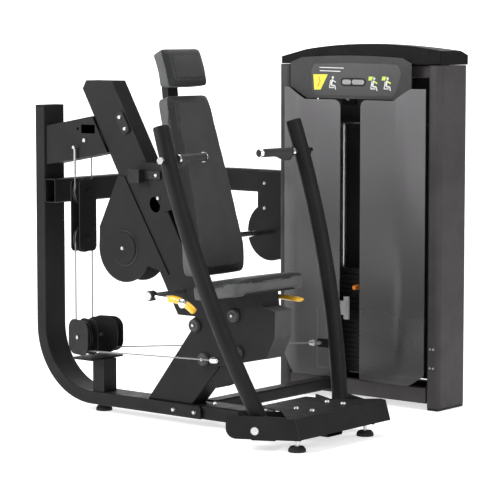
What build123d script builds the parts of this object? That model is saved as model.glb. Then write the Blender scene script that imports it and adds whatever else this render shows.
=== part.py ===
"""Chest press machine with a weight stack, one solid or set of solids per named piece.

Millimetres. X runs across the machine towards the weight tower, Y runs backwards from
the foot plate, Z is up. The pieces are drawn about the line between the two front feet;
the last lines move them all so that the origin is under the middle of the machine.
"""
import os
from math import acos, atan2, cos, degrees, radians, sin, tan

from build123d import *

os.makedirs("parts", exist_ok=True)

# ---------------------------------------------------------------- driving dimensions
running_gap = 0.05         # round piece turning in a hole, on the radius

rail_width = 120           # main rail, across
rail_depth = 54
rail_wall = 3
rail_ground = 31           # underside of the rail above the floor
rail_back = 1541           # rear face of the upright
rail_bend = 310            # outer radius of the rail's bend
upright_top = 1262
joint_y = 636              # where the rail meets the front stub
stub_width = 100

beam_width = 80            # leaning back beam, across
beam_depth = 165
beam_lean = 30             # degrees from upright
beam_foot = (590, 460)     # y, z on its front face
beam_top = 1372

tube_width = 100           # short tube that ties the beam to the upright
tube_depth = 160
tube_tilt = 10
tube_z = 1098              # height of its middle where it meets the upright

post_lean = 19.3           # seat post
post_foot = (521, 178)
post_depth = 92
post_width = 80
post_length = 290

swing_yaw = 27             # the arms swing in planes turned this much inwards
pivot = (256, 174, 78)
pivot_bore = 12.5
hub_radius = 30
hub_half = 50
plate_gap = 6              # hub end to pivot plate
plate_thick = 8
plate_low, plate_high = 45, 133

arm_radius = 31.75
arm_wall = 3
arm_lean = 18.1
arm_foot = (244, 163, 90)
arm_rise = 1176            # along the leaning plane
arm_spread = 161           # sideways over that rise
arm_start = 18.9           # angle at which it leaves the hub, degrees
handle_up = 0.895          # where the handle crosses, as a share of the arm
handle_length = 252
handle_back = 6            # degrees
bar_radius = 12.5
grip_radius = 17
grip_bulge = 4
cable_lug_z = 335
lug_hole = 9.5             # the shackle pin has play in it
fork_gap = 16              # the lug tilts between the shackle's ears

foot_top = 138
foot_sheet = 5
foot_front = -51
foot_half = 290
foot_pad_radius = 34
foot_at = (215, 20)

cable_radius = 2.75
cable_gap = 0.5            # between a cable and the bottom of its groove
groove = 50                # radius of the cable on the block's pulleys
flange = 7                 # how far a pulley's rim stands over its cable
block_at = (-12, 1310)
block_top, block_low = 962, 662
block_pulley_z = 909, 714
rear_groove = 57
rear_hub_z = 312

tube_pulley_at = (1265, 1125)
tube_groove = 45
shaft_at = (1050, 692)
shaft_radius = 14
drive_groove = 80
out_groove = 94
wheel_width = 16
guard_radius = 140
guard_sheet = 6

bar_top = 958              # rear crossbar
bar_height = 100
bar_depth = 60
bar_bend = 110
bar_leg_x = 1000

tower_near, tower_far = 832, 1038
tower_front, tower_back = 102, 946
post_thick = 65
tower_top = 1432
tower_arch = 1520
foot_low = 12
base_low, base_high = 28, 92
stack_at = (940, 555)
stack_width, stack_length = 100, 270
plate_pitch = 21
plate_low_z = 118
plates_fixed, plates_lifted = 17, 3
head_height = 24
rod_spacing = 238
rod_radius = 12.5
rod_top = 1180
selector_radius = 10

seat_half = 210
seat_rear_half = 150
seat_front, seat_back = 305, 606
seat_thick = 68
seat_pitch = 9.5
seat_front_z = 636
pad_low, pad_high = 616, 1322
pad_thick = 78
plate_at, plate_sheet = 46, 6          # the seat carriage's cheeks stand this far out
lever_at, lever_rod = (440, 520), 6    # seat lever's rod, y and z, and its radius
start_at, start_x, start_shaft = (737, 537), 232, 10
head_low, head_high = 1362, 1508


def yz(x=0):
    """Side view: local x is Y, local y is Z, and an extrusion runs towards +X."""
    return Plane.YZ.offset(x)


def along(start, end):
    """A plane at start that looks along the line to end."""
    return Plane(origin=start, z_dir=Vector(end) - Vector(start))


def rod(start, end, radius):
    """A round bar from start to end."""
    with BuildSketch(along(start, end)) as round_end:
        Circle(radius)
    extrude(round_end.sketch, amount=(Vector(end) - Vector(start)).length)


def bolt(place, head=9, height=7):
    """A button head that sits on the plane."""
    with BuildSketch(place) as button:
        Circle(head)
    extrude(button.sketch, amount=height, taper=18)


def pulley(place, cable, bore, width=14):
    """A grooved wheel on its plane: the cable lies at radius cable."""
    rim, root = cable + flange, cable - cable_radius - cable_gap
    low, wide = cable_radius + 0.6, cable_radius + 1.8
    across = Plane(place.origin, x_dir=place.x_dir, z_dir=-place.y_dir)
    with BuildSketch(across) as half:
        with BuildLine():
            Polyline((bore, -width / 2), (rim, -width / 2), (rim, -wide), (root, -low),
                     (root, low), (rim, wide), (rim, width / 2), (bore, width / 2), close=True)
        make_face()
    revolve(half.sketch, axis=Axis(place.origin, place.z_dir))


def wrap(place, cable, start, sweep_angle):
    """The length of cable that lies round a pulley, from start, in degrees."""
    with BuildLine(place) as bend:
        CenterArc((0, 0), cable, start, sweep_angle)
    with BuildSketch(Plane(origin=bend.line @ 0, z_dir=bend.line % 0)) as round_end:
        Circle(cable_radius)
    sweep(round_end.sketch, path=bend.line)


def tangent(first, r_first, second, r_second, turn=1):
    """Where a straight cable leaves one circle and meets the next, on the same side."""
    gap = Vector(*second) - Vector(*first)
    tilt = turn * degrees(acos((r_first - r_second) / gap.length))
    normal = gap.normalized().rotate(Axis.Z, tilt)
    return Vector(*first) + normal * r_first, Vector(*second) + normal * r_second


def heading(vector):
    """The direction of a flat vector, in degrees."""
    return degrees(atan2(vector.Y, vector.X))


side = Vector(-sin(radians(swing_yaw)), cos(radians(swing_yaw)), 0)       # back and outwards
inward = Vector(cos(radians(swing_yaw)), sin(radians(swing_yaw)), 0)      # along the pivot
right_pivot = Vector(-pivot[0], pivot[1], pivot[2])
swing_plane = Plane(origin=right_pivot, x_dir=side, z_dir=inward)

# ---------------------------------------------------------------- rails and beams
rail_mid = rail_back - rail_depth / 2
rail_line = rail_ground + rail_depth / 2
bend_mid = rail_bend - rail_depth / 2

with BuildPart() as main_rail:
    with BuildSketch(yz()):
        with BuildLine() as path:
            up = Line((rail_mid, upright_top), (rail_mid, rail_line + bend_mid))
            RadiusArc(up @ 1, (rail_mid - bend_mid, rail_line), bend_mid)
            Line((rail_mid - bend_mid, rail_line), (joint_y, rail_line))
        trace(path.line, line_width=rail_depth)
    extrude(amount=rail_width / 2, both=True)
    for end in (Axis.X, -Axis.X):
        fillet(main_rail.faces().sort_by(end)[-1].edges(), 6)
    with BuildSketch(yz()):
        with BuildLine() as core:
            up = Line((rail_mid, upright_top + 2), (rail_mid, rail_line + bend_mid))
            RadiusArc(up @ 1, (rail_mid - bend_mid, rail_line), bend_mid)
            Line((rail_mid - bend_mid, rail_line), (joint_y - 2, rail_line))
        trace(core.line, line_width=rail_depth - 2 * rail_wall)
    extrude(amount=rail_width / 2 - rail_wall, both=True, mode=Mode.SUBTRACT)

with BuildPart() as front_stub:
    with BuildSketch(Plane.XZ.offset(-joint_y)):
        with Locations((0, rail_line)):
            RectangleRounded(stub_width, rail_depth, 8)
            RectangleRounded(stub_width - 2 * rail_wall, rail_depth - 2 * rail_wall, 5,
                             mode=Mode.SUBTRACT)
    extrude(amount=joint_y - 6)

beam_slope = tan(radians(beam_lean))
beam_step = beam_depth / cos(radians(beam_lean))      # the beam's width on the level


def beam_front(z):
    """Y of the beam's front face at a height."""
    return beam_foot[0] + (z - beam_foot[1]) * beam_slope


with BuildPart() as back_beam:
    with BuildSketch(yz()):
        with BuildLine():
            Polyline((beam_front(440), 440), (beam_front(beam_top), beam_top),
                     (beam_front(beam_top) + beam_step - 40, beam_top),
                     (beam_front(beam_top - 34) + beam_step, beam_top - 34),
                     (beam_front(440) + beam_step, 440), close=True)
        make_face()
    extrude(amount=beam_width / 2, both=True)
    fillet(back_beam.faces().sort_by(Axis.X)[-1].edges(), 5)
    fillet(back_beam.faces().sort_by(Axis.X)[0].edges(), 5)
    with BuildSketch(yz()):
        with BuildLine():
            Polyline((beam_front(430) + 4, 430), (beam_front(beam_top - 4) + 4, beam_top - 4),
                     (beam_front(beam_top - 4) + beam_step - 44, beam_top - 4),
                     (beam_front(beam_top - 38) + beam_step - 4, beam_top - 38),
                     (beam_front(430) + beam_step - 4, 430), close=True)
        make_face()
    extrude(amount=beam_width / 2 - 4, both=True, mode=Mode.SUBTRACT)
    # oval access hole in the near wall
    with BuildSketch(yz(-beam_width / 2 - 1)):
        with Locations((beam_front(877) + 57, 877)):
            Ellipse(33, 27, rotation=90 - beam_lean)
    extrude(amount=10, mode=Mode.SUBTRACT)

tube_slope = tan(radians(tube_tilt))
upright_face = rail_back - rail_depth


def tube_mid(y):
    """Height of the tie tube's middle at a place along Y."""
    return tube_z + (upright_face - y) * tube_slope


def tube_outline(inset, end=0):
    """The tie tube seen from the side, drawn inset from its skin."""
    half = tube_depth / 2 / cos(radians(tube_tilt)) - inset
    rear = beam_front(0) + beam_step
    y_top, y_low = [(rear + beam_slope * (tube_z + upright_face * tube_slope + part))
                    / (1 + beam_slope * tube_slope) for part in (half, -half)]
    back = upright_face + end
    return [(back, tube_mid(back) + half), (y_top - end, tube_mid(y_top - end) + half),
            (y_low - end, tube_mid(y_low - end) - half), (back, tube_mid(back) - half)]


with BuildPart() as rear_arm_tube:
    with BuildSketch(yz()):
        with BuildLine():
            Polyline(*tube_outline(0), close=True)
        make_face()
    extrude(amount=tube_width / 2, both=True)
    with BuildSketch(yz()):
        with BuildLine():
            Polyline(*tube_outline(4, 20), close=True)
        make_face()
    extrude(amount=tube_width / 2 - 4, both=True, mode=Mode.SUBTRACT)
    # window over the pulley, and the slots that let its cable in and out
    with BuildSketch(yz(-tube_width / 2 - 1)):
        with Locations((1246, 1172)):
            Rectangle(78, 36)
        with Locations((1304, 1172)):
            Circle(6)
    extrude(amount=12, mode=Mode.SUBTRACT)
    with BuildSketch(yz(-tube_width)):
        with Locations(tube_pulley_at):
            Circle(8)
    extrude(amount=2 * tube_width, mode=Mode.SUBTRACT)
    with Locations((38, 1290, 1048), (38, 1190, 1070)):
        Box(20, 70, 60, mode=Mode.SUBTRACT)

strut_outline = [(926, rail_ground + rail_depth), (691, 388), (642, 362), (548, 246),
                 (689, rail_ground + rail_depth)]
with BuildPart() as seat_strut:
    with BuildSketch(yz()) as strut_side:
        with BuildLine():
            Polyline(*strut_outline, close=True)
        make_face()
    extrude(amount=45, both=True)
    fillet(seat_strut.faces().sort_by(Axis.X)[-1].edges(), 5)
    fillet(seat_strut.faces().sort_by(Axis.X)[0].edges(), 5)
    with BuildSketch(yz()):
        offset(strut_side.sketch_local, amount=-5)
    extrude(amount=40, both=True, mode=Mode.SUBTRACT)


def on_post(along_it, forward):
    """Y and Z of a place given along the seat post and forward of its middle."""
    lean_back = radians(post_lean)
    return (post_foot[0] + along_it * sin(lean_back) - forward * cos(lean_back),
            post_foot[1] + along_it * cos(lean_back) + forward * sin(lean_back))


post_axis = Vector(0, sin(radians(post_lean)), cos(radians(post_lean)))
post_plane = Plane(origin=(0, *post_foot), x_dir=(1, 0, 0), z_dir=post_axis)

with BuildPart() as seat_post:
    with BuildSketch(yz()):
        with BuildLine():
            Polyline(on_post(0, post_depth / 2), on_post(post_length, post_depth / 2),
                     on_post(post_length, -post_depth / 2), on_post(0, -post_depth / 2),
                     close=True)
        make_face()
        # the end is trimmed to the beam and the strut that it is welded to
        with BuildLine():
            Polyline(*strut_outline, close=True)
        make_face(mode=Mode.SUBTRACT)
        with BuildLine():
            Polyline((beam_front(400), 400), (beam_front(600), 600), (900, 600), (900, 400),
                     close=True)
        make_face(mode=Mode.SUBTRACT)
    extrude(amount=post_width / 2, both=True)
    with BuildSketch(post_plane.offset(-5)):
        Rectangle(post_width - 8, post_depth - 8)
    extrude(amount=post_length + 10, mode=Mode.SUBTRACT)

bar_mid_y = upright_face - bar_depth / 2
with BuildPart() as cross_beams:
    with BuildLine(Plane.XY.offset(bar_top - bar_height / 2)) as way:
        run = Line((-rail_width / 2, bar_mid_y), (bar_leg_x - bar_bend, bar_mid_y))
        corner = RadiusArc(run @ 1, (bar_leg_x, bar_mid_y - bar_bend), bar_bend)
        Line(corner @ 1, (bar_leg_x, tower_back))
    with BuildSketch(Plane(origin=way.line @ 0, x_dir=(0, 1, 0), z_dir=way.line % 0)):
        RectangleRounded(bar_depth, bar_height, 9)
        RectangleRounded(bar_depth - 8, bar_height - 8, 6, mode=Mode.SUBTRACT)
    sweep(path=way.line)

    with BuildSketch(yz(rail_width / 2 + 5)):
        with Locations((688, 65)):
            RectangleRounded(66, 50, 8)
            RectangleRounded(58, 42, 5, mode=Mode.SUBTRACT)
    extrude(amount=tower_near - rail_width / 2 - 5)

with BuildPart() as joint_plates:
    for x in (-rail_width / 2 - 5, rail_width / 2):
        with BuildSketch(yz(x)):
            with Locations(((628 + 793) / 2, rail_line)):
                RectangleRounded(165, rail_depth - 8, 8)
        extrude(amount=5)
    with BuildSketch(Plane.XY.offset(rail_ground + rail_depth)):
        with Locations((0, 475)):
            RectangleRounded(92, 300, 12)
    extrude(amount=5)

# ---------------------------------------------------------------- foot plate and pivots
lean_in = 24               # how far the front sheet leans back over its height
with BuildPart() as foot_plate:
    with BuildSketch(Plane.XY.offset(foot_top - foot_sheet)):
        with BuildLine():
            Polyline((-285, foot_front + lean_in), (-297, 4), (-166, 139), (-150, 262),
                     (150, 262), (166, 139), (297, 4), (285, foot_front + lean_in), close=True)
        make_face()
    extrude(amount=foot_sheet)
    with BuildSketch(yz()):
        with BuildLine():
            Polyline((foot_front, 60), (foot_front + lean_in, foot_top),
                     (foot_front + lean_in + foot_sheet, foot_top),
                     (foot_front + foot_sheet, 60), close=True)
        make_face()
    extrude(amount=foot_half - 4, both=True)
    # cross box that carries the plate on the stub
    with BuildSketch(Plane.XY.offset(rail_ground + rail_depth)):
        with Locations((0, 130)):
            Rectangle(290, 60)
            Rectangle(280, 50, mode=Mode.SUBTRACT)
    extrude(amount=foot_top - foot_sheet - rail_ground - rail_depth)
    for x in (-foot_at[0], foot_at[0]):
        with BuildSketch(Plane.XY.offset(foot_top - foot_sheet - 24)):
            with Locations((x, foot_at[1])):
                Circle(16)
                Circle(8, mode=Mode.SUBTRACT)
        extrude(amount=24)

plate_in = hub_half + plate_gap
with BuildPart() as pivot_plates:
    for offset_in, front, back in ((-plate_in - plate_thick, -177, 113), (plate_in, -96, 92)):
        place = Plane(origin=right_pivot + inward * offset_in, x_dir=side, z_dir=inward)
        low, high = plate_low - pivot[2], plate_high - pivot[2]
        with BuildSketch(place):
            with BuildLine():
                Polyline((back, low + 40), (back, high), (front, high), (front, low),
                         (back - 40, low))
                RadiusArc((back - 40, low), (back, low + 40), -40)
            make_face()
            Circle(pivot_bore, mode=Mode.SUBTRACT)
        extrude(amount=plate_thick)
    # floor of the pivot box
    with BuildSketch(Plane(origin=right_pivot + Vector(0, 0, plate_low - pivot[2]),
                           x_dir=side, z_dir=(0, 0, 1))):
        with Locations((-30, 0)):
            Rectangle(92, 2 * plate_in)
    extrude(amount=-5)
    with BuildSketch(Plane(origin=right_pivot + side * 84, x_dir=inward, z_dir=side)):
        with Locations((0, -6)):
            Rectangle(2 * plate_in, 54)
    extrude(amount=5)
    mirror(about=Plane.YZ)

# ---------------------------------------------------------------- press arms
lean = radians(arm_lean)
foot_point = Vector(-arm_foot[0], arm_foot[1], arm_foot[2])
arm_plane = Plane(origin=foot_point, x_dir=(-1, 0, 0), z_dir=Vector(0, cos(lean), -sin(lean)))
chord = Vector(arm_spread, arm_rise)
bow = radians(arm_start) - atan2(arm_spread, arm_rise)
mid_arm = chord * 0.5 + Vector(arm_rise, -arm_spread) * 0.5 * tan(bow / 2)
with BuildLine(arm_plane) as arm_line:
    ThreePointArc((0, 0), (mid_arm.X, mid_arm.Y), (chord.X, chord.Y))
cross = arm_line.line @ handle_up
reach = Vector(cos(radians(handle_back)), sin(radians(handle_back)), 0)
lug_up = (cable_lug_z - arm_foot[2]) / (arm_rise * cos(lean))
lug_root = arm_line.line @ lug_up
lug_pin = lug_root + Vector(0, 80, 0)

with BuildPart() as right_arm:
    start = Plane(origin=arm_line.line @ 0, z_dir=arm_line.line % 0)
    with BuildSketch(start):
        Circle(arm_radius)
    sweep(path=arm_line.line)
    with BuildSketch(start):
        Circle(arm_radius - arm_wall)
    sweep(path=arm_line.line, mode=Mode.SUBTRACT)
    top = Plane(origin=arm_line.line @ 1, z_dir=arm_line.line % 1)
    with BuildSketch(top):
        Circle(arm_radius)
    extrude(amount=5, taper=20)
    with BuildSketch(Plane(origin=right_pivot - inward * hub_half, x_dir=side, z_dir=inward)):
        Circle(hub_radius)
    extrude(amount=2 * hub_half)
    # handle bar through the arm, with its nut outside
    rod(cross - reach * (arm_radius + 12), cross + reach * (handle_length - 16), bar_radius)
    # lug that the cable pulls on
    with BuildSketch(Plane(origin=lug_root, x_dir=(0, 1, 0), z_dir=(1, 0, 0))):
        with Locations((54, 0)):
            SlotOverall(88, 34)
        with Locations((80, 0)):
            Circle(lug_hole, mode=Mode.SUBTRACT)
    extrude(amount=4, both=True)
    with BuildSketch(swing_plane.offset(-hub_half - 1)):
        Circle(pivot_bore + running_gap)
    extrude(amount=2 * hub_half + 2, mode=Mode.SUBTRACT)

with BuildPart() as right_grip:
    along_bar = Plane(origin=cross + reach * 66, x_dir=(0, 0, 1), z_dir=reach)
    with BuildSketch(Plane(origin=along_bar.origin, x_dir=reach, z_dir=reach.cross(Vector(0, 0, 1)))):
        with BuildLine():
            Line((0, 0), (0, grip_radius))
            Spline((0, grip_radius), (80, grip_radius + grip_bulge), (168, grip_radius))
            Polyline((168, grip_radius), (168, 0), (0, 0))
        make_face()
    revolve(axis=Axis(along_bar.origin, reach))
    with BuildSketch(along_bar):
        Circle(bar_radius)
    extrude(amount=168, mode=Mode.SUBTRACT)

with BuildPart() as right_trim:
    with BuildSketch(along_bar.offset(-13)):
        Circle(grip_radius + 3)
        Circle(bar_radius, mode=Mode.SUBTRACT)
    extrude(amount=12)
    with BuildSketch(along_bar.offset(168.5)):
        Circle(grip_radius + 3)
        Circle(bar_radius, mode=Mode.SUBTRACT)
    extrude(amount=handle_length - 16 - 66 - 168.5)
    with BuildSketch(along_bar.offset(handle_length - 16 - 66)):
        Circle(grip_radius + 3)
    extrude(amount=10, taper=25)
    with BuildSketch(Plane(origin=cross - reach * (arm_radius + 12), z_dir=-reach)):
        RegularPolygon(15, 6)
    extrude(amount=10)

with BuildPart() as left_arm:
    mirror(right_arm.part, about=Plane.YZ)
with BuildPart() as left_grip:
    mirror(right_grip.part, about=Plane.YZ)
with BuildPart() as left_trim:
    mirror(right_trim.part, about=Plane.YZ)

# ---------------------------------------------------------------- seat
def under_pad(y, drop=0):
    """Height of the seat pad's underside, or a drop below it."""
    return (seat_front_z - seat_thick - (y - seat_front) * tan(radians(seat_pitch)) - drop)


pan_front, pan_back, pan_sheet = 325, 540, 5
nose = [(pan_front, under_pad(pan_front, pan_sheet)), (318, 505), (258, 494), (260, 392),
        (300, 306), (408, 282)]                     # front of the carriage, y and z
with BuildPart() as seat_carriage:
    with BuildSketch(yz(plate_at)) as cheek:
        with BuildLine():
            Polyline(on_post(290, -75), (pan_back, under_pad(pan_back, pan_sheet)), *nose,
                     on_post(90, -75), close=True)
        make_face()
    extrude(amount=plate_sheet)
    with BuildSketch(yz(-plate_at)):
        add(cheek.sketch_local)
    extrude(amount=-plate_sheet)
    with BuildSketch(yz()):
        with BuildLine():
            Polyline((pan_front - 6, under_pad(pan_front - 6)), (pan_back, under_pad(pan_back)),
                     (pan_back, under_pad(pan_back, pan_sheet)),
                     (pan_front - 6, under_pad(pan_front - 6, pan_sheet)), close=True)
        make_face()
    extrude(amount=150, both=True)
    # front cover between the cheeks
    with BuildSketch(yz()):
        with BuildLine():
            Polyline(*nose)
            offset(amount=pan_sheet, side=Side.LEFT)
        make_face()
    extrude(amount=plate_at, both=True)
    # ears for the lever's rod
    for x in (72, 112):
        with BuildSketch(yz(x)):
            with Locations((lever_at[0], lever_at[1] + 6)):
                RectangleRounded(26, 30, 6)
            with Locations(lever_at):
                Circle(lever_rod + running_gap, mode=Mode.SUBTRACT)
        extrude(amount=6)

with BuildPart() as seat_rollers:
    for u, v in ((264, -58), (124, -58), (250, 150), (107, 120)):
        y, z = on_post(u, v)
        for x in (plate_at + plate_sheet, -plate_at - plate_sheet):
            with BuildSketch(Plane(origin=(x, y, z), z_dir=(x, 0, 0))):
                Circle(27)
            extrude(amount=16, taper=12)

with BuildPart() as seat_pad:
    with BuildSketch(Plane.XY.offset(430)):
        with BuildLine():
            Polyline((-seat_half, seat_front), (seat_half, seat_front), (seat_half, seat_front + 90),
                     (seat_rear_half, seat_back), (-seat_rear_half, seat_back),
                     (-seat_half, seat_front + 90), close=True)
        make_face()
        fillet(vertices(), 40)
    extrude(amount=260)
    with BuildSketch(yz()):
        with BuildLine():
            Polyline((seat_front - 2, under_pad(seat_front - 2)), (seat_back + 2, under_pad(seat_back + 2)),
                     (seat_back + 2, under_pad(seat_back + 2) + seat_thick),
                     (seat_front - 2, under_pad(seat_front - 2) + seat_thick), close=True)
        make_face()
    extrude(amount=seat_half + 5, both=True, mode=Mode.INTERSECT)

with BuildPart() as seat_lever:
    rod((60, *lever_at), (200, *lever_at), lever_rod)
    with BuildSketch(Plane.XY.offset(lever_at[1] - 6)):
        with Locations((165, lever_at[0] - 72)):
            RectangleRounded(64, 138, 14)
    extrude(amount=12)
    fillet(seat_lever.faces().sort_by(Axis.Z)[-1].edges().filter_by(GeomType.LINE), 3)

with BuildPart() as start_lever:
    hub = Vector(-start_x, *start_at)
    with BuildSketch(Plane(origin=hub, z_dir=(-1, 0, 0))):
        Circle(20)
        Circle(start_shaft + running_gap, mode=Mode.SUBTRACT)
    extrude(amount=14, both=True)
    rod(hub + Vector(0, -17, -1), hub + Vector(0, -100, -5), 8)
    bend = [Vector(-start_x, start_at[0] - back, start_at[1] - down)
            for back, down in ((96, 5), (162, 15), (223, 44))]
    with BuildLine() as grip_line:
        ThreePointArc(*bend)
    with BuildSketch(Plane(origin=bend[0], z_dir=grip_line.line % 0)):
        Circle(14)
    sweep(path=grip_line.line)
    with BuildSketch(Plane(origin=grip_line.line @ 0.6, z_dir=(-1, 0, 0))):
        Circle(19)
    extrude(amount=17)

# ---------------------------------------------------------------- back rest
pad_face = [(564, pad_low), (566, 700), (572, 780), (731, pad_high)]      # front face, y and z
with BuildPart() as back_frame:
    with BuildSketch(yz()):
        with BuildLine():
            Polyline((574 + pad_thick, 640), (576 + pad_thick, 780),
                     (731 + pad_thick + 12, 1310), (802 + 40, 1480), (832 + 40, 1480),
                     (764 + pad_thick + 12, 1310), (608 + pad_thick, 780), (606 + pad_thick, 640),
                     close=True)
        make_face()
    extrude(amount=30, both=True)
    # plates from the bar to the beam, on both of the beam's sides
    for x in (beam_width / 2, -beam_width / 2 - 6):
        with BuildSketch(yz(x)):
            with BuildLine():
                Polyline((812, 1046), (720, 880), (beam_front(850) + 22, 850),
                         (beam_front(1046) + 45, 1046), close=True)
            make_face()
        extrude(amount=6)
    for x in (30, -40):
        with BuildSketch(yz(x)):
            with BuildLine():
                Polyline((744, 1030), (702, 890), (722, 884), (beam_front(880) - 4, 880),
                         (beam_front(1030) - 4, 1030), close=True)
            make_face()
        extrude(amount=10)
    # foot of the bar on the beam
    with BuildSketch(yz()):
        with BuildLine():
            Polyline((606 + pad_thick, 690), (606 + pad_thick, 650), (beam_front(650) - 0.3, 650),
                     (beam_front(690) - 0.3, 690), close=True)
        make_face()
    extrude(amount=26, both=True)

with BuildPart() as back_pad:
    with BuildSketch(Plane.XZ.offset(-500)) as back_outline:
        with BuildLine():
            Polyline((-124, pad_high), (-158, pad_low + 90), (-150, pad_low), (150, pad_low),
                     (158, pad_low + 90), (124, pad_high), close=True)
        make_face()
        fillet(back_outline.vertices(), 24)
    extrude(amount=-400)
    with BuildSketch(yz()):
        with BuildLine():
            Polyline(*pad_face, (731 + pad_thick, pad_high - 18), (572 + pad_thick - 1, 780),
                     (564 + pad_thick + 6, pad_low + 4), close=True)
        make_face()
    extrude(amount=170, both=True, mode=Mode.INTERSECT)

with BuildPart() as head_pad:
    with BuildSketch(Plane.XZ.offset(-500)):
        with Locations((0, (head_low + head_high) / 2)):
            RectangleRounded(230, head_high - head_low, 30)
    extrude(amount=-400)
    with BuildSketch(yz()):
        with BuildLine():
            Polyline((717, head_low - 2), (765, head_high + 2), (832, head_high - 20),
                     (785, head_low - 2), close=True)
        make_face()
    extrude(amount=120, both=True, mode=Mode.INTERSECT)

with BuildPart() as arm_stops:
    for x in (-beam_width / 2 - 14, beam_width / 2 + 6):
        with BuildSketch(yz(x)):
            with Locations((918, 997)):
                RectangleRounded(140, 34, 8)
        extrude(amount=8)
    with Locations((-70, 962, 992), (70, 962, 992)):
        Box(32, 58, 54)
    # black plate under the two upper bolts
    with BuildSketch(yz(-beam_width / 2)):
        with Locations((1056, 1202)):
            RectangleRounded(92, 42, 12, rotation=90 - beam_lean)
    extrude(amount=-10)

# ---------------------------------------------------------------- pulleys and cables
rear_face = beam_front(0) + beam_step


def beam_back(z):
    """Y of the beam's rear face at a height."""
    return rear_face + z * beam_slope


strand_x = (block_at[0] - groove, block_at[0] + groove)
block_upper = Plane(origin=(block_at[0], block_at[1], block_pulley_z[0]), x_dir=(1, 0, 0),
                    z_dir=(0, -1, 0))
block_lower = Plane(origin=(block_at[0], block_at[1], block_pulley_z[1]), x_dir=(1, 0, 0),
                    z_dir=(0, -1, 0))
axle = 8

with BuildPart() as block_cheeks:
    for y in (block_at[1] + 21, block_at[1] - 26):
        with BuildSketch(Plane.XZ.offset(-y)):
            with Locations((block_at[0], (block_top + block_low) / 2)):
                RectangleRounded(2 * groove, block_top - block_low, 22)
        extrude(amount=-5)
    for place in (block_upper, block_lower):
        with BuildSketch(place.offset(-30)):
            Circle(axle)
        extrude(amount=60)
        with BuildSketch(place.offset(26)):
            Circle(14)
        extrude(amount=8, taper=15)
with BuildPart() as block_upper_pulley:
    pulley(block_upper, groove, axle + running_gap)
with BuildPart() as block_lower_pulley:
    pulley(block_lower, groove, axle + 0.02)
with BuildPart() as block_cable:
    wrap(block_upper, groove, 180, 180)
    wrap(block_lower, groove, 0, 180)

sleeve_end = 980
with BuildPart() as upper_strands:
    for x in strand_x:
        rod((x, block_at[1], block_pulley_z[0] + 0.4), (x, block_at[1], sleeve_end - 0.4),
            cable_radius)
with BuildPart() as lower_strands:
    for x in strand_x:
        rod((x, block_at[1], rear_hub_z + 0.4), (x, block_at[1], block_pulley_z[1] - 0.4),
            cable_radius)

# the arm cable leaves its strand in the upright plane that holds the arm's shackle
strand = Vector(strand_x[0], block_at[1], 0)
outward = Vector(lug_pin.X - strand.X, lug_pin.Y - strand.Y, 0)
cable_reach = outward.length
outward = outward.normalized()
rear_hub = strand + outward * rear_groove + Vector(0, 0, rear_hub_z)
rear_plane = Plane(origin=rear_hub, x_dir=outward, z_dir=outward.cross(Vector(0, 0, 1)))
shackle = Vector(cable_reach - rear_groove, lug_pin.Z - rear_hub_z)
tilt = heading(shackle) - degrees(acos(rear_groove / shackle.length))
leave = Vector(cos(radians(tilt)), sin(radians(tilt))) * rear_groove
cable_way = (shackle - leave).normalized()
cable_stop = shackle - cable_way * 46

with BuildPart() as right_rear_pulley:
    pulley(rear_plane, rear_groove, axle + running_gap)
with BuildPart() as left_rear_pulley:
    mirror(right_rear_pulley.part, about=Plane.YZ.offset(block_at[0]))

# the left cable runs to the left arm, so it is not quite the right one's mirror image
with BuildPart() as right_arm_cable:
    wrap(rear_plane, rear_groove, 180, 360 + tilt - 180)
    rod(rear_plane.from_local_coords(leave), rear_plane.from_local_coords(cable_stop),
        cable_radius)
left_pin = Vector(-lug_pin.X, lug_pin.Y, lug_pin.Z)
left_leave = Vector(2 * block_at[0] - rear_plane.from_local_coords(leave).X,
                    rear_plane.from_local_coords(leave).Y, rear_plane.from_local_coords(leave).Z)
left_plane = Plane(origin=(2 * block_at[0] - rear_hub.X, rear_hub.Y, rear_hub.Z),
                   x_dir=(outward.X, -outward.Y, 0),
                   z_dir=Vector(outward.X, -outward.Y, 0).cross(Vector(0, 0, 1)))
left_way = (left_pin - left_leave).normalized()
with BuildPart() as left_arm_cable:
    wrap(left_plane, rear_groove, 0, -(180 + tilt))
    rod(left_leave, left_pin - left_way * 46, cable_radius)


def shackle_piece(pin, way):
    """Fork, pin and ferrule on the end of an arm cable."""
    rod(pin + Vector(-fork_gap, 0, 0), pin + Vector(fork_gap, 0, 0), 4)
    for x in (-fork_gap / 2 - 4.5, fork_gap / 2):
        with BuildSketch(Plane(origin=pin + Vector(x, 0, 0), x_dir=Vector(0, way.Y, way.Z),
                               z_dir=Vector(1, 0, 0))) as ear:
            with Locations((-12, 0)):
                SlotOverall(42, 16)
        extrude(ear.sketch, amount=4.5)
    back = pin - way * 26
    rod(back, back - way * 8, 12.5)
    rod(back - way * 7, back - way * 19.5, 9.5)


with BuildPart() as right_cable_end:
    shackle_piece(lug_pin, (lug_pin - rear_plane.from_local_coords(leave)).normalized())
with BuildPart() as left_cable_end:
    shackle_piece(left_pin, left_way)

tube_plane = Plane(origin=(strand_x[1], *tube_pulley_at), x_dir=(0, 1, 0), z_dir=(1, 0, 0))
drive_plane = Plane(origin=(strand_x[1], *shaft_at), x_dir=(0, 1, 0), z_dir=(1, 0, 0))
tower_x = stack_at[0]
out_plane = Plane(origin=(tower_x, *shaft_at), x_dir=(0, 1, 0), z_dir=(1, 0, 0))
low_at = (760, shaft_at[1] + out_groove + tube_groove)
low_plane = Plane(origin=(tower_x, *low_at), x_dir=(0, 1, 0), z_dir=(1, 0, 0))
top_at = (stack_at[1] + drive_groove, 1285)
top_plane = Plane(origin=(tower_x, *top_at), x_dir=(0, 1, 0), z_dir=(1, 0, 0))

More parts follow.
